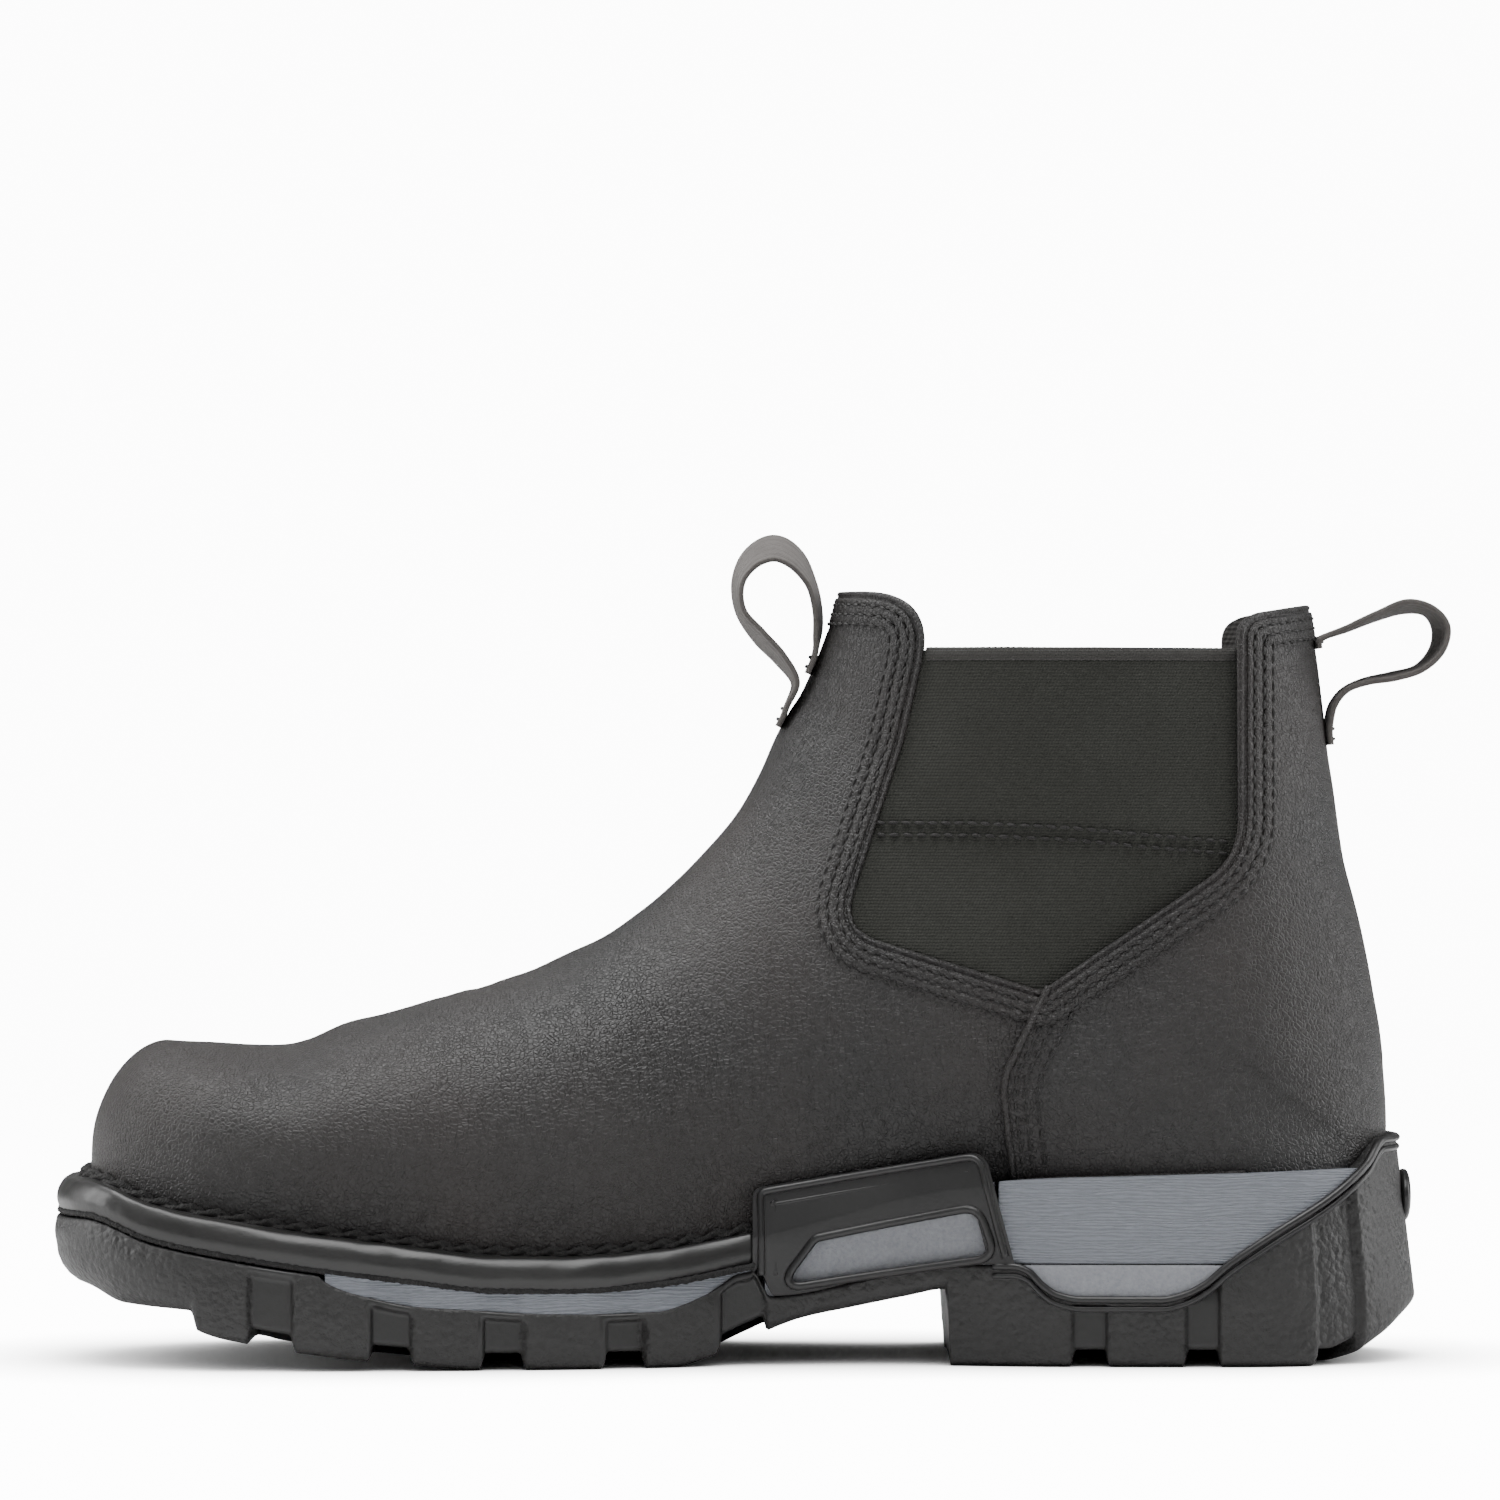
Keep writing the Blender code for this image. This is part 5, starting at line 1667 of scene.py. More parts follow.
@dataclass(eq=False)
class Welt:
    """Rubber bead round the forepart, its cord and a painted shadow line along its lower edge."""

    sole: Sole
    finishes: Finishes
    cord_pitch: float = 0.0126
    cord_radius: float = 0.00070
    strand_radius: float = 0.00082
    cord_seat: Pair = (0.0014, 0.0016)
    ply_pitch: float = 0.0021
    # Seat of the painted shadow line under the welt: its distance out and its height.
    shadow_line_seat: Pair = (0.0068, -0.0066)
    front: float = 0.4880

    def turns(self) -> Pair:
        """Where the welt starts and ends round the boot."""
        return self.sole.turn_at(self.front, 1.0), self.sole.turn_at(self.front, -1.0)

    def bead(self) -> None:
        """The bead itself."""
        start, end = self.turns()
        sole, last = self.sole, self.sole.last
        count = len(WELT_SECTION)
        ring = Table([(i, *WELT_SECTION[i % count]) for i in range(count + 1)])

        def place(u: float, v: float) -> Vector:
            turn = start + (end - start) * u
            edge = sole.edge(sole.station(turn)[0])
            out, up = ring.at(v * count, 1), ring.at(v * count, 2)
            sway = 0.00018 * noise.noise(Vector((u * 60.0, v * 6.0, 0.0)))
            rise = up * sole.welt_height + sway
            return sole.wall(turn, out * edge + sway, lambda share: last.feather(min(share, 1.0)) + rise)

        mesh = closed_outward(formed_grid(520, 48, place))
        deliver(new_piece("welt_bead", mesh, self.finishes.of(WELT_RUBBER)), "welt_rubber", "welt")

    def line(self, out: float, up: float) -> Line:
        """Line along the welt.

        Args:
            out: distance beyond the feather line.
            up: height above it.

        Returns:
            The line.
        """
        start, end = self.turns()
        spots = []
        for i in range(421):
            turn = start + (end - start) * i / 420
            _, _, direction = self.sole.station(turn)
            place = self.sole.wall(turn, out, lambda share: self.sole.last.feather(min(share, 1.0)) + up)
            spots.append(Spot(place, Vector((0.6 * direction.x, 0.6 * direction.y, 0.8))))
        return Line(spots)

    def cord(self) -> None:
        """Two strands twisted along the joint with the leather."""
        line = self.line(*self.cord_seat)
        count = round(line.length / self.cord_pitch * 26)
        mesh = bmesh.new()
        for strand in range(2):

            def place(u: float, v: float, phase: float = math.pi * strand) -> Vector:
                distance = u * line.length
                spot, _, across = line.frame_at(distance)
                wind = 2.0 * math.pi * distance / self.cord_pitch + phase
                swell = 1.0 + 0.25 * math.sin(2.0 * wind)
                offset = across * math.cos(wind) + spot.normal * 0.8 * math.sin(wind)
                centre = spot.place + offset * self.cord_radius
                turn = 2.0 * math.pi * v
                ply = 1.0 + 0.14 * math.sin(3.0 * turn + 2.0 * math.pi * distance / self.ply_pitch)
                radius = self.strand_radius * swell * ply
                return centre + (across * math.cos(turn) + spot.normal * math.sin(turn)) * radius

            Upper.join(mesh, closed_outward(formed_grid(count * 2, 14, place)))
        deliver(new_piece("welt_cord", mesh, self.finishes.of(ROPE)), "leather")

    def painted_shadow_line(self) -> None:
        """Lumpy near-black tube along the welt's lower edge: a painted shadow line where the welt meets the
        outsole.
        """
        line = self.line(*self.shadow_line_seat)
        count = round(line.length / 0.0005)

        def place(u: float, v: float) -> Vector:
            distance = u * line.length
            spot, _, across = line.frame_at(distance)
            outward = Vector((spot.normal.x, spot.normal.y, 0.0)).normalized()
            turn = 2.0 * math.pi * v
            lump = noise.noise(Vector((distance * 900.0, 3.0 * math.cos(turn), 3.0 * math.sin(turn))))
            radius = 0.00075 + 0.00040 * lump
            return spot.place + (outward * math.cos(turn) * 1.2 + Vector((0.0, 0.0, math.sin(turn)))) * radius

        mesh = closed_outward(formed_grid(count, 8, place))
        # Near-black finish on this tube: painted shadow under the welt's bead.
        deliver(new_piece("welt_painted_shadow_line", mesh, self.finishes.of(PAINTED_SHADE)), "welt_rubber")

    def build(self) -> None:
        """Make the welt."""
        self.bead()
        self.cord()
        self.painted_shadow_line()


@dataclass(eq=False)
class Midsole:
    """Grey foam between the upper and the outsole."""

    sole: Sole
    finishes: Finishes
    recess: float = 0.0006
    frame_recess: float = 0.0007
    divider: float = 0.0230
    heel_end: float = 0.2950
    divider_half: float = 0.00018
    rib_depth: float = 0.00002
    rib_pitch: float = 0.00084
    wall: float = 0.0030
    tuck: float = 0.0045
    tuck_start: float = 0.94
    line_start: float = 0.30
    line_end: float = 0.32
    window_ends: Pair = (0.3000, 0.4790)

    def rib(self, height: float, wave: float) -> float:
        """How far a rib stands out at a height, where the ribs have wandered by a wave."""
        return self.rib_depth * math.sin(2.0 * math.pi * height / self.rib_pitch + wave)

    def heel(self) -> None:
        """Foam round the heel: ribbed above the divider and stippled below it, with painted shade in the
        divider groove.
        """
        sole, last = self.sole, self.sole.last
        reach = sole.turn_at(self.heel_end, 1.0)

        def place(u: float, v: float) -> Vector:
            turn = reach * (2.0 * u - 1.0)
            share = sole.rim_share(turn)
            low = sole.top(share) - 0.0008
            high = max(low + 0.0004, last.feather(share) + 0.0004)
            below = max(low, self.divider - self.divider_half)
            above = max(low, self.divider + self.divider_half)
            t = min(1.0, v / self.tuck_start)
            first, second = self.line_start, self.line_end
            if t < first:
                height = low + (below - low) * t / first
            elif t < second:
                height = below + (above - below) * (t - first) / (second - first)
            else:
                height = above + (high - above) * (t - second) / (1.0 - second)
            groove = 0.00050 * math.exp(-(((height - self.divider) / 0.00030) ** 2))
            wave = noise.noise(Vector((turn * 26.0, 0.0, height * 60.0)))
            rib = self.rib(height, 9.0 * wave) * soft_step(height, self.divider, self.divider + 0.0006)
            tuck = self.tuck * max(0.0, v - self.tuck_start) / (1.0 - self.tuck_start)
            return sole.edge_spot(turn, rib - self.recess - groove - tuck, height).place

        mesh = formed_grid(300, 130, place)
        bmesh.ops.recalc_face_normals(mesh, faces=mesh.faces)
        face_towards(mesh, Vector((0.0, 1.0, 0.0)), lambda face: face.calc_center_median().y)
        # Faces in the divider groove take the near-black finish: painted shade in the groove.
        for face in mesh.faces:
            above = face.calc_center_median().z - self.divider
            face.material_index = 2 if abs(above) < self.divider_half else (0 if above > 0.0 else 1)
        materials = (self.finishes.of(finish) for finish in (RIBBED_FOAM, STIPPLED_FOAM, PAINTED_SHADE))
        piece = new_piece("midsole_heel", mesh, *materials)
        add_wall(piece, self.wall)
        settle(piece, 60.0)
        deliver(piece, "midsole_foam", "midsole")

    def panel(self, name: str, shares: Pair, side: float, finish: Finish, steps: tuple[int, int]) -> None:
        """Strip of foam on one side.

        Args:
            name: of the piece.
            shares: its ends along the last.
            side: 1 on the inner side and -1 on the outer side.
            finish: its finish.
            steps: along it and up it.
        """
        sole, last = self.sole, self.sole.last
        first, final = (sole.turn_at(share, side) for share in shares)
        ribbed = finish is RIBBED_FOAM

        def place(u: float, v: float) -> Vector:
            turn = first + (final - first) * u
            share = sole.rim_share(turn)
            low = sole.top(share) - 0.0008
            high = last.feather(share) - (sole.welt_height + 0.0001 if ribbed else -0.0004)
            high = max(high, low + 0.0002)
            height = low + (high - low) * v
            wave = noise.noise(Vector((turn * 40.0, 4.0, height * 80.0)))
            rib = self.rib(height, 7.0 * wave) if ribbed else 0.0
            step = 0.0
            for channel, width in CHANNELS:
                gap = abs(share - channel) * last.length
                step = max(step, 0.00035 * (1.0 - soft_step(gap, 0.0042 * width, 0.0052 * width)))
            deep = step if ribbed else self.frame_recess
            return sole.edge_spot(turn, rib - self.recess - deep, height).place

        mesh = formed_grid(*steps, place)
        bmesh.ops.recalc_face_normals(mesh, faces=mesh.faces)
        face_towards(mesh, Vector((0.0, side, 0.0)))
        piece = new_piece(name, mesh, self.finishes.of(finish))
        add_wall(piece, self.wall)
        settle(piece, 60.0)
        deliver(piece, "midsole_foam")

    def build(self) -> None:
        """Make the foam."""
        self.heel()
        for word, side in (("inner", 1.0), ("outer", -1.0)):
            ends = (self.sole.welt_start, self.sole.strip_end)
            self.panel(f"midsole_strip_{word}", ends, side, RIBBED_FOAM, (160, 64))
            self.panel(f"midsole_window_{word}", self.window_ends, side, STIPPLED_FOAM, (80, 24))


@dataclass(eq=False)
class ArchFrame:
    """Moulded frame that wraps the waist, with a raised rim round its window."""

    sole: Sole
    finishes: Finishes
    proud: float = 0.0006
    wall: float = 0.0016
    lap: float = 0.0120
    lean: float = 0.0025
    ends: Pair = (0.272, 0.500)

    def spot(self, x: float, height: float, side: float, proud: float = 0.0) -> Spot:
        """Spot on the frame's face.

        Args:
            x: along the boot.
            height: above the floor.
            side: 1 on the inner side and -1 on the outer side.
            proud: the distance off the face.

        Returns:
            The spot.
        """
        sole = self.sole
        share = sole.last.share_at(x)
        feather = sole.last.feather(share)
        inward = self.lean * max(0.0, height - feather) / self.lap
        return sole.edge_spot(sole.turn_at(share, side), self.proud - inward + proud, height)

    def plate(self, word: str, side: float) -> Piece:
        """One side of the frame.

        Args:
            word: names the side.
            side: 1 on the inner side and -1 on the outer side.

        Returns:
            The piece.
        """
        last = self.sole.last
        first, final = (last.x_at(share) for share in self.ends)

        def place(u: float, v: float) -> Vector:
            x = first + (final - first) * u
            share = last.share_at(x)
            low = self.sole.top(share) + 0.0002
            height = low + (last.feather(share) + self.lap - low) * v
            belly = 0.00045 * math.sin(math.pi * min(1.0, max(0.0, v))) ** 2
            return self.spot(x, height, side, belly).place

        mesh = formed_grid(150, 70, place)
        face_towards(mesh, Vector((0.0, side, 0.0)))
        piece = new_piece(f"arch_frame_{word}", mesh, self.finishes.of(FRAME_PLASTIC))
        add_wall(piece, self.wall)
        tools = [
            ("INTERSECT", prism("frame", last.sole_outline(FRAME_AREA))),
            ("DIFFERENCE", prism("window", last.sole_outline(WINDOW_AREA))),
        ]
        cut(piece, tools, 32.0)
        return piece

    def rims(self, side: float) -> Form:
        """Raised rim round the window, and rolled edges along the frame.

        Args:
            side: 1 on the inner side and -1 on the outer side.

        Returns:
            The mesh.
        """
        last = self.sole.last
        mesh = bmesh.new()
        window = moved_outline(last.sole_outline(WINDOW_AREA), 0.0007)
        for outline, closed, section in (
            (window + window[:1], True, round_section(0.0010, 0.0014, 0.5, 12)),
            (self.border(0.0009), False, round_section(0.0009, 0.0013, 0.6, 12)),
            (self.border(0.0042), False, round_section(0.0006, 0.0005, 0.8, 10)),
        ):
            points = dense(outline, 0.0009)
            if closed:
                points = points[:-1]
            line = Line([self.spot(p.x, p.y, side, -0.0002) for p in points], closed=closed)
            Upper.join(mesh, swept_bead(line, section, 0.0009))
        return mesh

    def border(self, inward: float) -> list[Vector]:
        """Front, top and rear border of the frame.

        Args:
            inward: the distance from it.

        Returns:
            Points of x and z.
        """
        last = self.sole.last
        outline = moved_outline(last.sole_outline(FRAME_AREA), -inward)[1:-1]
        low = {True: self.sole.top(0.480) + 0.001, False: self.sole.top(0.290) + 0.001}
        middle = last.x_at(0.39)
        points = dense([Vector((outline[0].x, low[True]))] + outline, 0.001)
        return [point for point in points if point.y >= low[point.x > middle]]

    def build(self) -> None:
        """Make both sides of the frame."""
        mesh = bmesh.new()
        for word, side in (("inner", 1.0), ("outer", -1.0)):
            piece = self.plate(word, side)
            deliver(piece, "frame_plastic", *(["arch_frame"] if side > 0.0 else []))
            Upper.join(mesh, self.rims(side))
        deliver(new_piece("arch_frame_rims", mesh, self.finishes.of(FRAME_PLASTIC)), "frame_plastic")


@dataclass(eq=False)
class Outsole:
    """Rubber outsole with its lugs, heel cup and piping."""

    sole: Sole
    finishes: Finishes
    channel_width: float = 0.0098
    channel_depth: float = 0.0016
    channel_top: float = 0.0012
    lug_depth: float = 0.0038
    groove_length: float = 0.0300
    centre_width: float = 0.0050
    centre_length: float = 0.0320
    flank: float = 0.0011
    top_round: float = 0.0008
    boss: tuple[float, float, float] = (0.0018, 0.0190, 0.0118)
    boss_middle: float = 0.0366
    tread_end: float = 0.34
    corner_end: float = 0.46
    side_end: float = 0.82
    brim_end: float = 0.92

    def __post_init__(self) -> None:
        """Measure the rim, so that a channel has its true width."""
        self.marks = {}
        for side in (1.0, -1.0):
            places = [self.sole.station(self.sole.turn_at(i / 800, side))[1] for i in range(801)]
            marks = [0.0]
            for before, after in zip(places, places[1:]):
                marks.append(marks[-1] + (after - before).length)
            self.marks[side] = marks

    def mark(self, share: float, side: float) -> float:
        """Distance along the rim from the back of the heel."""
        place = 800.0 * min(1.0, max(0.0, share))
        i = min(int(place), 799)
        marks = self.marks[side]
        return marks[i] + (marks[i + 1] - marks[i]) * (place - i)

    @functools.lru_cache(maxsize=16384)
    def channel(self, turn: float) -> float:
        """How much of the channels' depth there is at a place round the rim.

        Args:
            turn: round the boot.

        Returns:
            0 on a block and 1 in a channel.
        """
        side = 1.0 if turn % 1.0 <= 0.5 else -1.0
        here = self.mark(self.sole.station(turn)[0], side)
        deepest = 0.0
        for share, width in CHANNELS:
            gap = abs(here - self.mark(share, side))
            half = 0.5 * width * self.channel_width
            deepest = max(deepest, 1.0 - soft_step(gap, half - self.flank, half + 0.2 * self.flank))
        return deepest

    def place(self, u: float, v: float) -> Vector:
        """Point of the outsole.

        Args:
            u: round the boot.
            v: from the middle of the tread out to the edge, up the side and in over the top.

        Returns:
            The point.
        """
        sole, last = self.sole, self.sole.last
        share, station, direction = sole.station(u)
        rim = sole.rim_share(u)
        edge, bevel = sole.edge(share), sole.bevel(share)
        deep = self.channel(u)
        spine = Vector((last.x_at(min(0.90, max(0.08, share))), 0.0))
        spine.y = last.centre(last.share_at(spine.x))
        if v <= self.tread_end:
            t = v / self.tread_end
            start = station + direction * (edge - bevel)
            spot = spine.lerp(start, t)
            inward = (1.0 - t) * (start - spine).length
            here = last.share_at(spot.x)
            z = sole.under(here)
            groove = deep * (1.0 - soft_step(inward, self.groove_length - 0.002, self.groove_length))
            rows = [row[0] for row in CHANNELS if row[0] > sole.welt_start]
            for ahead, behind in zip(rows, rows[1:]):
                gap = abs(spot.x - last.x_at(0.5 * (ahead + behind)))
                side = abs(spot.y - spine.y)
                wide, long = 0.5 * self.centre_width, 0.5 * self.centre_length
                across = 1.0 - soft_step(gap, wide - 0.0008, wide)
                groove = max(groove, across * (1.0 - soft_step(side, long - 0.001, long)))
            z += self.lug_depth * groove
            return Vector((spot.x, spot.y, z))
        foot = sole.under(rim)
        raised = deep * self.lug_depth
        if v <= self.corner_end:
            turn = 0.5 * math.pi * (v - self.tread_end) / (self.corner_end - self.tread_end)
            out = edge - bevel + bevel * math.sin(turn) - deep * self.channel_depth * math.sin(turn)
            spot = station + direction * out
            here = sole.under(last.share_at(spot.x))
            z = here + raised + (bevel - min(raised, 0.6 * bevel)) * (1.0 - math.cos(turn))
            return Vector((spot.x, spot.y, z))
        top = sole.top(rim)
        low = foot + bevel + max(0.0, raised - 0.6 * bevel)
        high = max(top - self.top_round, low + 0.0004)
        if v <= self.side_end:
            t = (v - self.corner_end) / (self.side_end - self.corner_end)
            z = low + (high - low) * t
            fade = 1.0 - soft_step(z, top - self.channel_top - 0.0012, top - self.channel_top)
            bulge = 0.0
            if share > sole.welt_start:
                bulge = 0.0004 * math.sin(math.pi * t) * (1.0 - deep)
            out = edge - sole.lean(share, z) - deep * fade * self.channel_depth + bulge
            spot = station + direction * out
            return Vector((spot.x, spot.y, z))
        if v <= self.brim_end:
            turn = 0.5 * math.pi * (v - self.side_end) / (self.brim_end - self.side_end)
            out = edge - sole.lean(share, high) - self.top_round * (1.0 - math.cos(turn))
            spot = station + direction * out
            return Vector((spot.x, spot.y, high + self.top_round * math.sin(turn)))
        t = (v - self.brim_end) / (1.0 - self.brim_end)
        out = edge - sole.lean(share, high) - self.top_round
        spot = station + direction * (out + (-0.0010 - out) * t)
        return Vector((spot.x, spot.y, high + self.top_round))

    def body(self) -> None:
        """The outsole itself, smoother in its channels."""
        mesh = formed_grid(1400, 50, self.place)
        closed_outward(mesh)
        for face in mesh.faces:
            middle = face.calc_center_median()
            share = self.sole.last.share_at(middle.x)
            side = 1.0 if middle.y > self.sole.last.centre(share) else -1.0
            depth = self.channel(self.sole.turn_at(share, side))
            face.material_index = 1 if depth > 0.5 and 0.08 < share < 0.95 else 0
        materials = (self.finishes.of(TREAD_RUBBER), self.finishes.of(GROOVE_RUBBER))
        piece = new_piece("outsole_tread", mesh, *materials)
        piece.data.set_sharp_from_angle(angle=math.radians(52.0))
        deliver(piece, "outsole_rubber", "outsole")

    def trim(self) -> None:
        """Double piping along the cup's edge, and the plain oval on its back."""
        sole = self.sole
        reach = sole.turn_at(0.300, 1.0)
        mesh = bmesh.new()
        for drop, half_width, height in ((0.0003, 0.00085, 0.0013), (0.0024, 0.0007, 0.0009)):
            spots = []
            for i in range(401):
                turn = reach * (2.0 * i / 400 - 1.0)
                spots.append(sole.edge_spot(turn, -0.0003, sole.top(sole.rim_share(turn)) - drop))
            section = round_section(half_width, height, 0.6, 12)
            Upper.join(mesh, swept_bead(Line(spots), section, 0.0010))
        deliver(new_piece("cup_piping", mesh, self.finishes.of(FRAME_PLASTIC)), "outsole_rubber")
        proud, width, height = self.boss
        oval = bmesh.new()
        bmesh.ops.create_uvsphere(oval, u_segments=48, v_segments=24, radius=0.5)
        back = sole.edge_spot(0.0, 0.0, self.boss_middle).place.x
        for vert in oval.verts:
            out = proud * max(0.0, -2.0 * vert.co.x) ** 0.55 - max(0.0, 2.0 * vert.co.x) * proud
            vert.co = Vector((back - out, vert.co.y * width, self.boss_middle + vert.co.z * height))
        deliver(new_piece("heel_oval", oval, self.finishes.of(FRAME_PLASTIC)), "outsole_rubber")

    def build(self) -> None:
        """Make the outsole."""
        self.body()
        self.trim()


@dataclass(eq=False)
class PullLoop:
    """Webbing loop, sewn to the boot at both ends."""

    last: Last
    upper: Upper
    finishes: Finishes
    name: str
    node: str
    rows: Rows
    seat: Pair
    facing: float
    width: float = 0.0160
    thickness: float = 0.0015
    reach: float = 0.0300
    ribs: int = 6
    sewn: float = 1.8
    tack_rows: tuple[float, ...] = (0.0014, 0.0038)

    def path(self, place: float) -> tuple[Vector, float]:
        """Point and twist of the webbing.

        Args:
            place: along the rows of the path.

        Returns:
            The point in metres and the twist in radians.
        """
        index = min(int(place), len(self.rows) - 2)
        t = place - index
        picks = [max(index - 1, 0), index, index + 1, min(index + 2, len(self.rows) - 1)]
        before, start, end, after = (Vector(self.rows[i]) for i in picks)
        lead, trail = (end - before) * 0.5, (after - start) * 0.5
        out, up, twist = (
            start * ((2.0 * t - 3.0) * t * t + 1.0)
            + lead * (((t - 2.0) * t + 1.0) * t)
            + end * ((3.0 - 2.0 * t) * t * t)
            + trail * ((t - 1.0) * t * t)
        )
        x = self.last.x_at(self.seat[0]) + self.facing * out * self.reach
        z = self.last.feather(self.seat[0]) + self.seat[1] * self.last.upper_height + up * self.reach
        here = Vector((x, 0.0, z))
        hold = 1.0 - soft_step(min(place, len(self.rows) - 1 - place), 0.5, self.sewn)
        if hold > 0.0:
            on = self.upper.seat(here, self.upper.cover(here) + 0.4 * self.thickness)
            here = here.lerp(Vector((on.place.x, 0.0, on.place.z)), hold)
        return here, math.radians(twist)

    def tacks(self, frames: Sequence[tuple[Vector, Vector, Vector]], marks: Sequence[float]) -> None:
        """Rows of small stitches that hold the ends of the webbing.

        Args:
            frames: middle, direction across and direction through, along the webbing.
            marks: the distance of each from its start.
        """
        stitches = Stitches(pitch=0.0024, length=0.0021, thickness=0.0008)
        for distance in self.tack_rows:
            for at in (distance, marks[len(frames) - 1] - distance):
                here, turned, _ = frames[min(bisect.bisect(marks, at), len(frames) - 1)]
                out = self.upper.seat(here, 0.0).normal
                middle = here + out * (0.4 * self.thickness)
                reach = turned * (0.38 * self.width)
                stitches.run(Line([Spot(middle - reach, out), Spot(middle + reach, out)]))
        piece = new_piece(f"{self.name}_tacks", closed_outward(stitches.mesh), self.finishes.of(THREAD))
        deliver(piece, "webbing")

    def build(self) -> None:
        """Make the loop as a flat ribbed strip."""
        span = len(self.rows) - 1
        steps = 240
        places = [self.path(span * i / steps) for i in range(steps + 1)]
        frames, marks = [], [0.0]
        for i, (here, twist) in enumerate(places):
            before, after = places[max(i - 1, 0)][0], places[min(i + 1, steps)][0]
            ahead = (after - before).normalized()
            side = Vector((0.0, 1.0, 0.0))
            turned = side * math.cos(twist) + ahead.cross(side) * math.sin(twist)
            frames.append((here, turned, ahead.cross(turned).normalized()))
            marks.append(marks[-1] + (after - here).length)
        near = KDTree(steps + 1)
        for i, (here, _, _) in enumerate(frames):
            near.insert(here, i)
        near.balance()
        half, thick = 0.5 * self.width, 0.5 * self.thickness
        sides = 64

        def section(v: float) -> Pair:
            turn = 2.0 * math.pi * v
            across = math.copysign(abs(math.cos(turn)) ** 0.9, math.cos(turn))
            rib = 1.0 - 0.16 * (0.5 + 0.5 * math.cos(2.0 * math.pi * self.ribs * across))
            selvage = 1.0 + 0.22 * soft_step(abs(across), 0.80, 0.90)
            up = math.copysign(abs(math.sin(turn)) ** 0.35, math.sin(turn))
            return half * across, thick * up * rib * selvage

        def place(u: float, v: float) -> Vector:
            here, turned, face = frames[round(u * steps)]
            out, up = section(v)
            return here + turned * out + face * up

        mesh = formed_grid(steps, sides, place)
        layer = mesh.loops.layers.uv.new("cloth")
        closed_outward(mesh)
        for face in mesh.faces:
            for loop in face.loops:
                here, index, _ = near.find(loop.vert.co)
                loop[layer].uv = ((loop.vert.co - here).dot(frames[index][1]), marks[index])
        deliver(new_piece(self.name, mesh, self.finishes.of(WEBBING)), "webbing", self.node)
        self.tacks(frames, marks)


LIGHTS = [
    # name, place, size, power
    ("top_softbox", (0.16, 0.05, 1.10), (1.3, 0.7), 24.0),
    ("toe_strip", (1.15, -0.10, 0.50), (0.5, 1.0), 11.0),
    ("heel_strip", (-1.00, -0.15, 0.45), (0.5, 1.0), 10.0),
    ("front_fill", (0.20, 1.60, 0.80), (1.4, 0.9), 3.0),
]


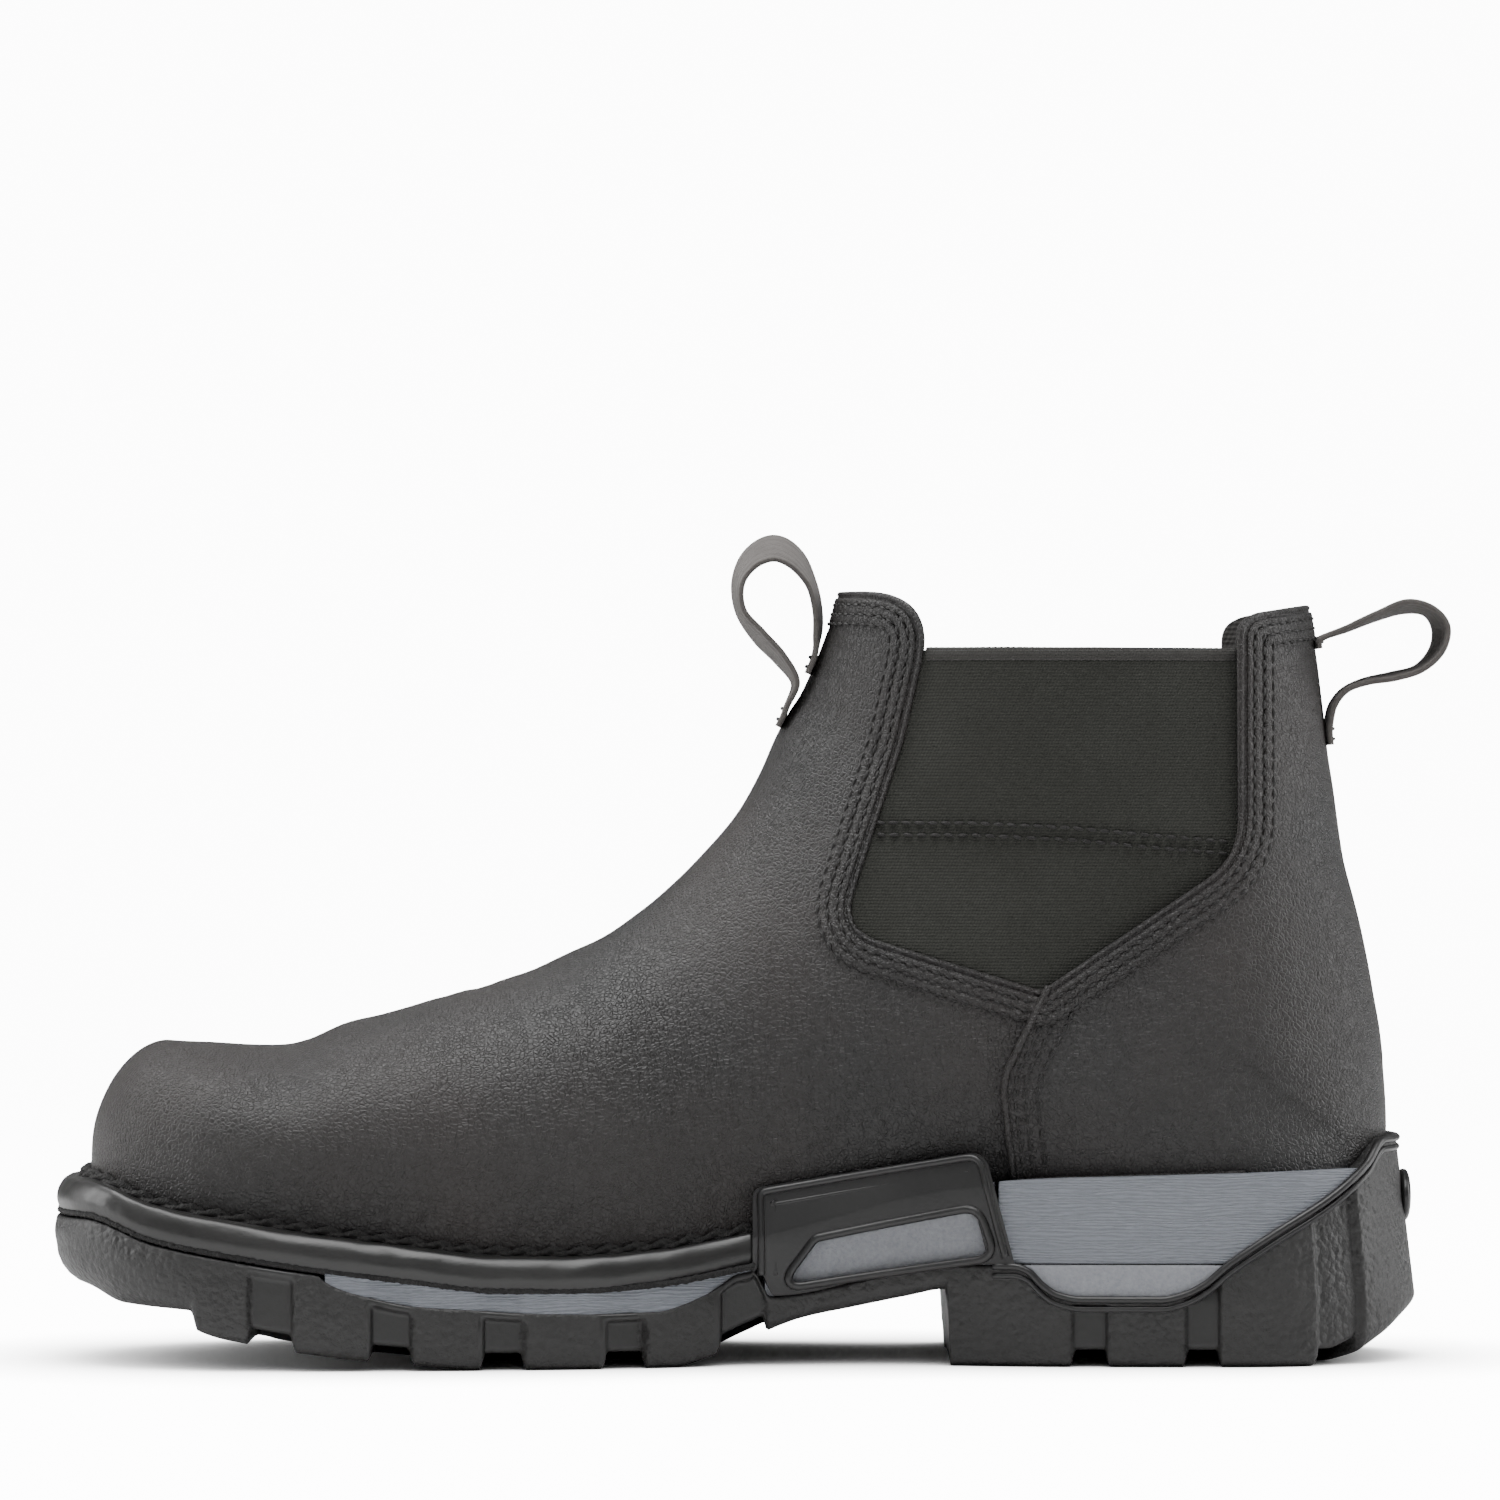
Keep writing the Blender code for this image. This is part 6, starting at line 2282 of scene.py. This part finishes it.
@dataclass(eq=False)
class Studio:
    """Pale floor, soft lights and the camera of the photograph."""

    aim: Vector = field(default_factory=lambda: Vector((0.0888, 0.030, 0.138)))
    distance: float = 1.90
    view_width: float = 0.337
    sensor: float = 36.0
    glow: float = 12.0
    room_light: float = 0.12
    # Reach and strength of the painted shadow: ambient occlusion that darkens the floor's glow near the boot.
    shadow_reach: float = 0.05
    shadow_depth: float = 2.5
    floor_size: float = 6.0
    floor_front: float = 1.6
    floor_flat: float = 3.4
    floor_bend: float = 1.2
    lit_place: Vector = field(default_factory=lambda: Vector((0.09, 0.0, 0.06)))

    def floor(self) -> None:
        """Floor that curves up behind the boot, glowing white to the camera, with a painted shadow where
        ambient occlusion darkens that glow near the boot.
        """

        def place(u: float, v: float) -> Vector:
            run, bend = self.floor_size * v, self.floor_bend
            x = self.floor_size * (u - 0.5)
            if run < self.floor_flat:
                return Vector((x, self.floor_front - run, 0.0))
            angle = min((run - self.floor_flat) / bend, 0.5 * math.pi)
            rest = max(0.0, run - self.floor_flat - 0.5 * math.pi * bend)
            y = self.floor_front - self.floor_flat - bend * math.sin(angle)
            return Vector((x, y, bend * (1.0 - math.cos(angle)) + rest * 4.0))

        mesh = formed_grid(8, 60, place)
        face_towards(mesh, Vector((0.0, 0.0, 1.0)))
        material = bpy.data.materials.new("pale_floor")
        material.use_nodes = True
        shader = material.node_tree.nodes["Principled BSDF"]
        shader.inputs["Base Color"].default_value = (0.88, 0.88, 0.88, 1.0)
        shader.inputs["Roughness"].default_value = 0.85
        shader.inputs["Emission Color"].default_value = (1.0, 1.0, 1.0, 1.0)
        sheet = Sheet(material.node_tree)
        seen = sheet.add("ShaderNodeLightPath").outputs["Is Camera Ray"]
        # Painted shadow: the camera-only glow is darkened by ambient occlusion near the boot.
        near = sheet.add("ShaderNodeAmbientOcclusion", {"Distance": self.shadow_reach}).outputs["AO"]
        glow = sheet.product(sheet.math("POWER", near, self.shadow_depth), self.glow)
        glow = sheet.product(glow, seen)
        material.node_tree.links.new(glow, shader.inputs["Emission Strength"])
        new_piece("studio_floor", mesh, material)

    def light(self, name: str, place: Sequence[float], size: Pair, power: float) -> None:
        """Soft rectangular light that faces the boot.

        Args:
            name: of the light.
            place: its middle.
            size: its width and height.
            power: in watts.
        """
        data = bpy.data.lights.new(name, "AREA")
        data.shape = "RECTANGLE"
        data.size, data.size_y = size
        data.energy = power
        lamp = bpy.data.objects.new(name, data)
        lamp.location = place
        lamp.rotation_euler = (self.lit_place - lamp.location).to_track_quat("-Z", "Y").to_euler()
        bpy.context.scene.collection.objects.link(lamp)

    def build(self) -> None:
        """Set the stage."""
        self.floor()
        world = bpy.data.worlds.new("white_room")
        world.use_nodes = True
        background = world.node_tree.nodes["Background"]
        background.inputs["Color"].default_value = (1.0, 1.0, 1.0, 1.0)
        sheet = Sheet(world.node_tree)
        seen = sheet.add("ShaderNodeLightPath").outputs["Is Camera Ray"]
        glow = sheet.math("MULTIPLY_ADD", seen, self.glow, self.room_light)
        world.node_tree.links.new(glow, background.inputs["Strength"])
        bpy.context.scene.world = world
        for row in LIGHTS:
            self.light(*row)
        data = bpy.data.cameras.new("photo_camera")
        data.sensor_width = self.sensor
        data.lens = self.sensor * self.distance / self.view_width
        camera = bpy.data.objects.new("photo_camera", data)
        camera.location = self.aim + Vector((0.0, self.distance, 0.0))
        camera.rotation_euler = (0.5 * math.pi, 0.0, math.pi)
        bpy.context.scene.collection.objects.link(camera)
        bpy.context.scene.camera = camera


def dress_insole(finishes: Finishes) -> None:
    """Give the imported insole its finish.

    Args:
        finishes: the materials.
    """
    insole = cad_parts["insole"]
    insole.data.materials.clear()
    insole.data.materials.append(finishes.of(FOOTBED))


def main() -> None:
    """Build the boot, piece by piece."""
    logging.basicConfig(level=logging.INFO, format="%(message)s")
    Studio().build()
    finishes = Finishes()
    last = Last()
    sole = Sole(last)
    upper = Upper(last, finishes)
    upper.build()
    Welt(sole, finishes).build()
    Midsole(sole, finishes).build()
    ArchFrame(sole, finishes).build()
    Outsole(sole, finishes).build()
    for name, rows, seat, facing in (
        ("front", FRONT_LOOP, (0.4314, 0.9897), 1.0),
        ("rear", REAR_LOOP, (0.0418, 0.8740), -1.0),
    ):
        PullLoop(last, upper, finishes, f"{name}_loop", f"pull_loop_{name}", rows, seat, facing).build()
    dress_insole(finishes)


if __name__ == "__main__":
    main()
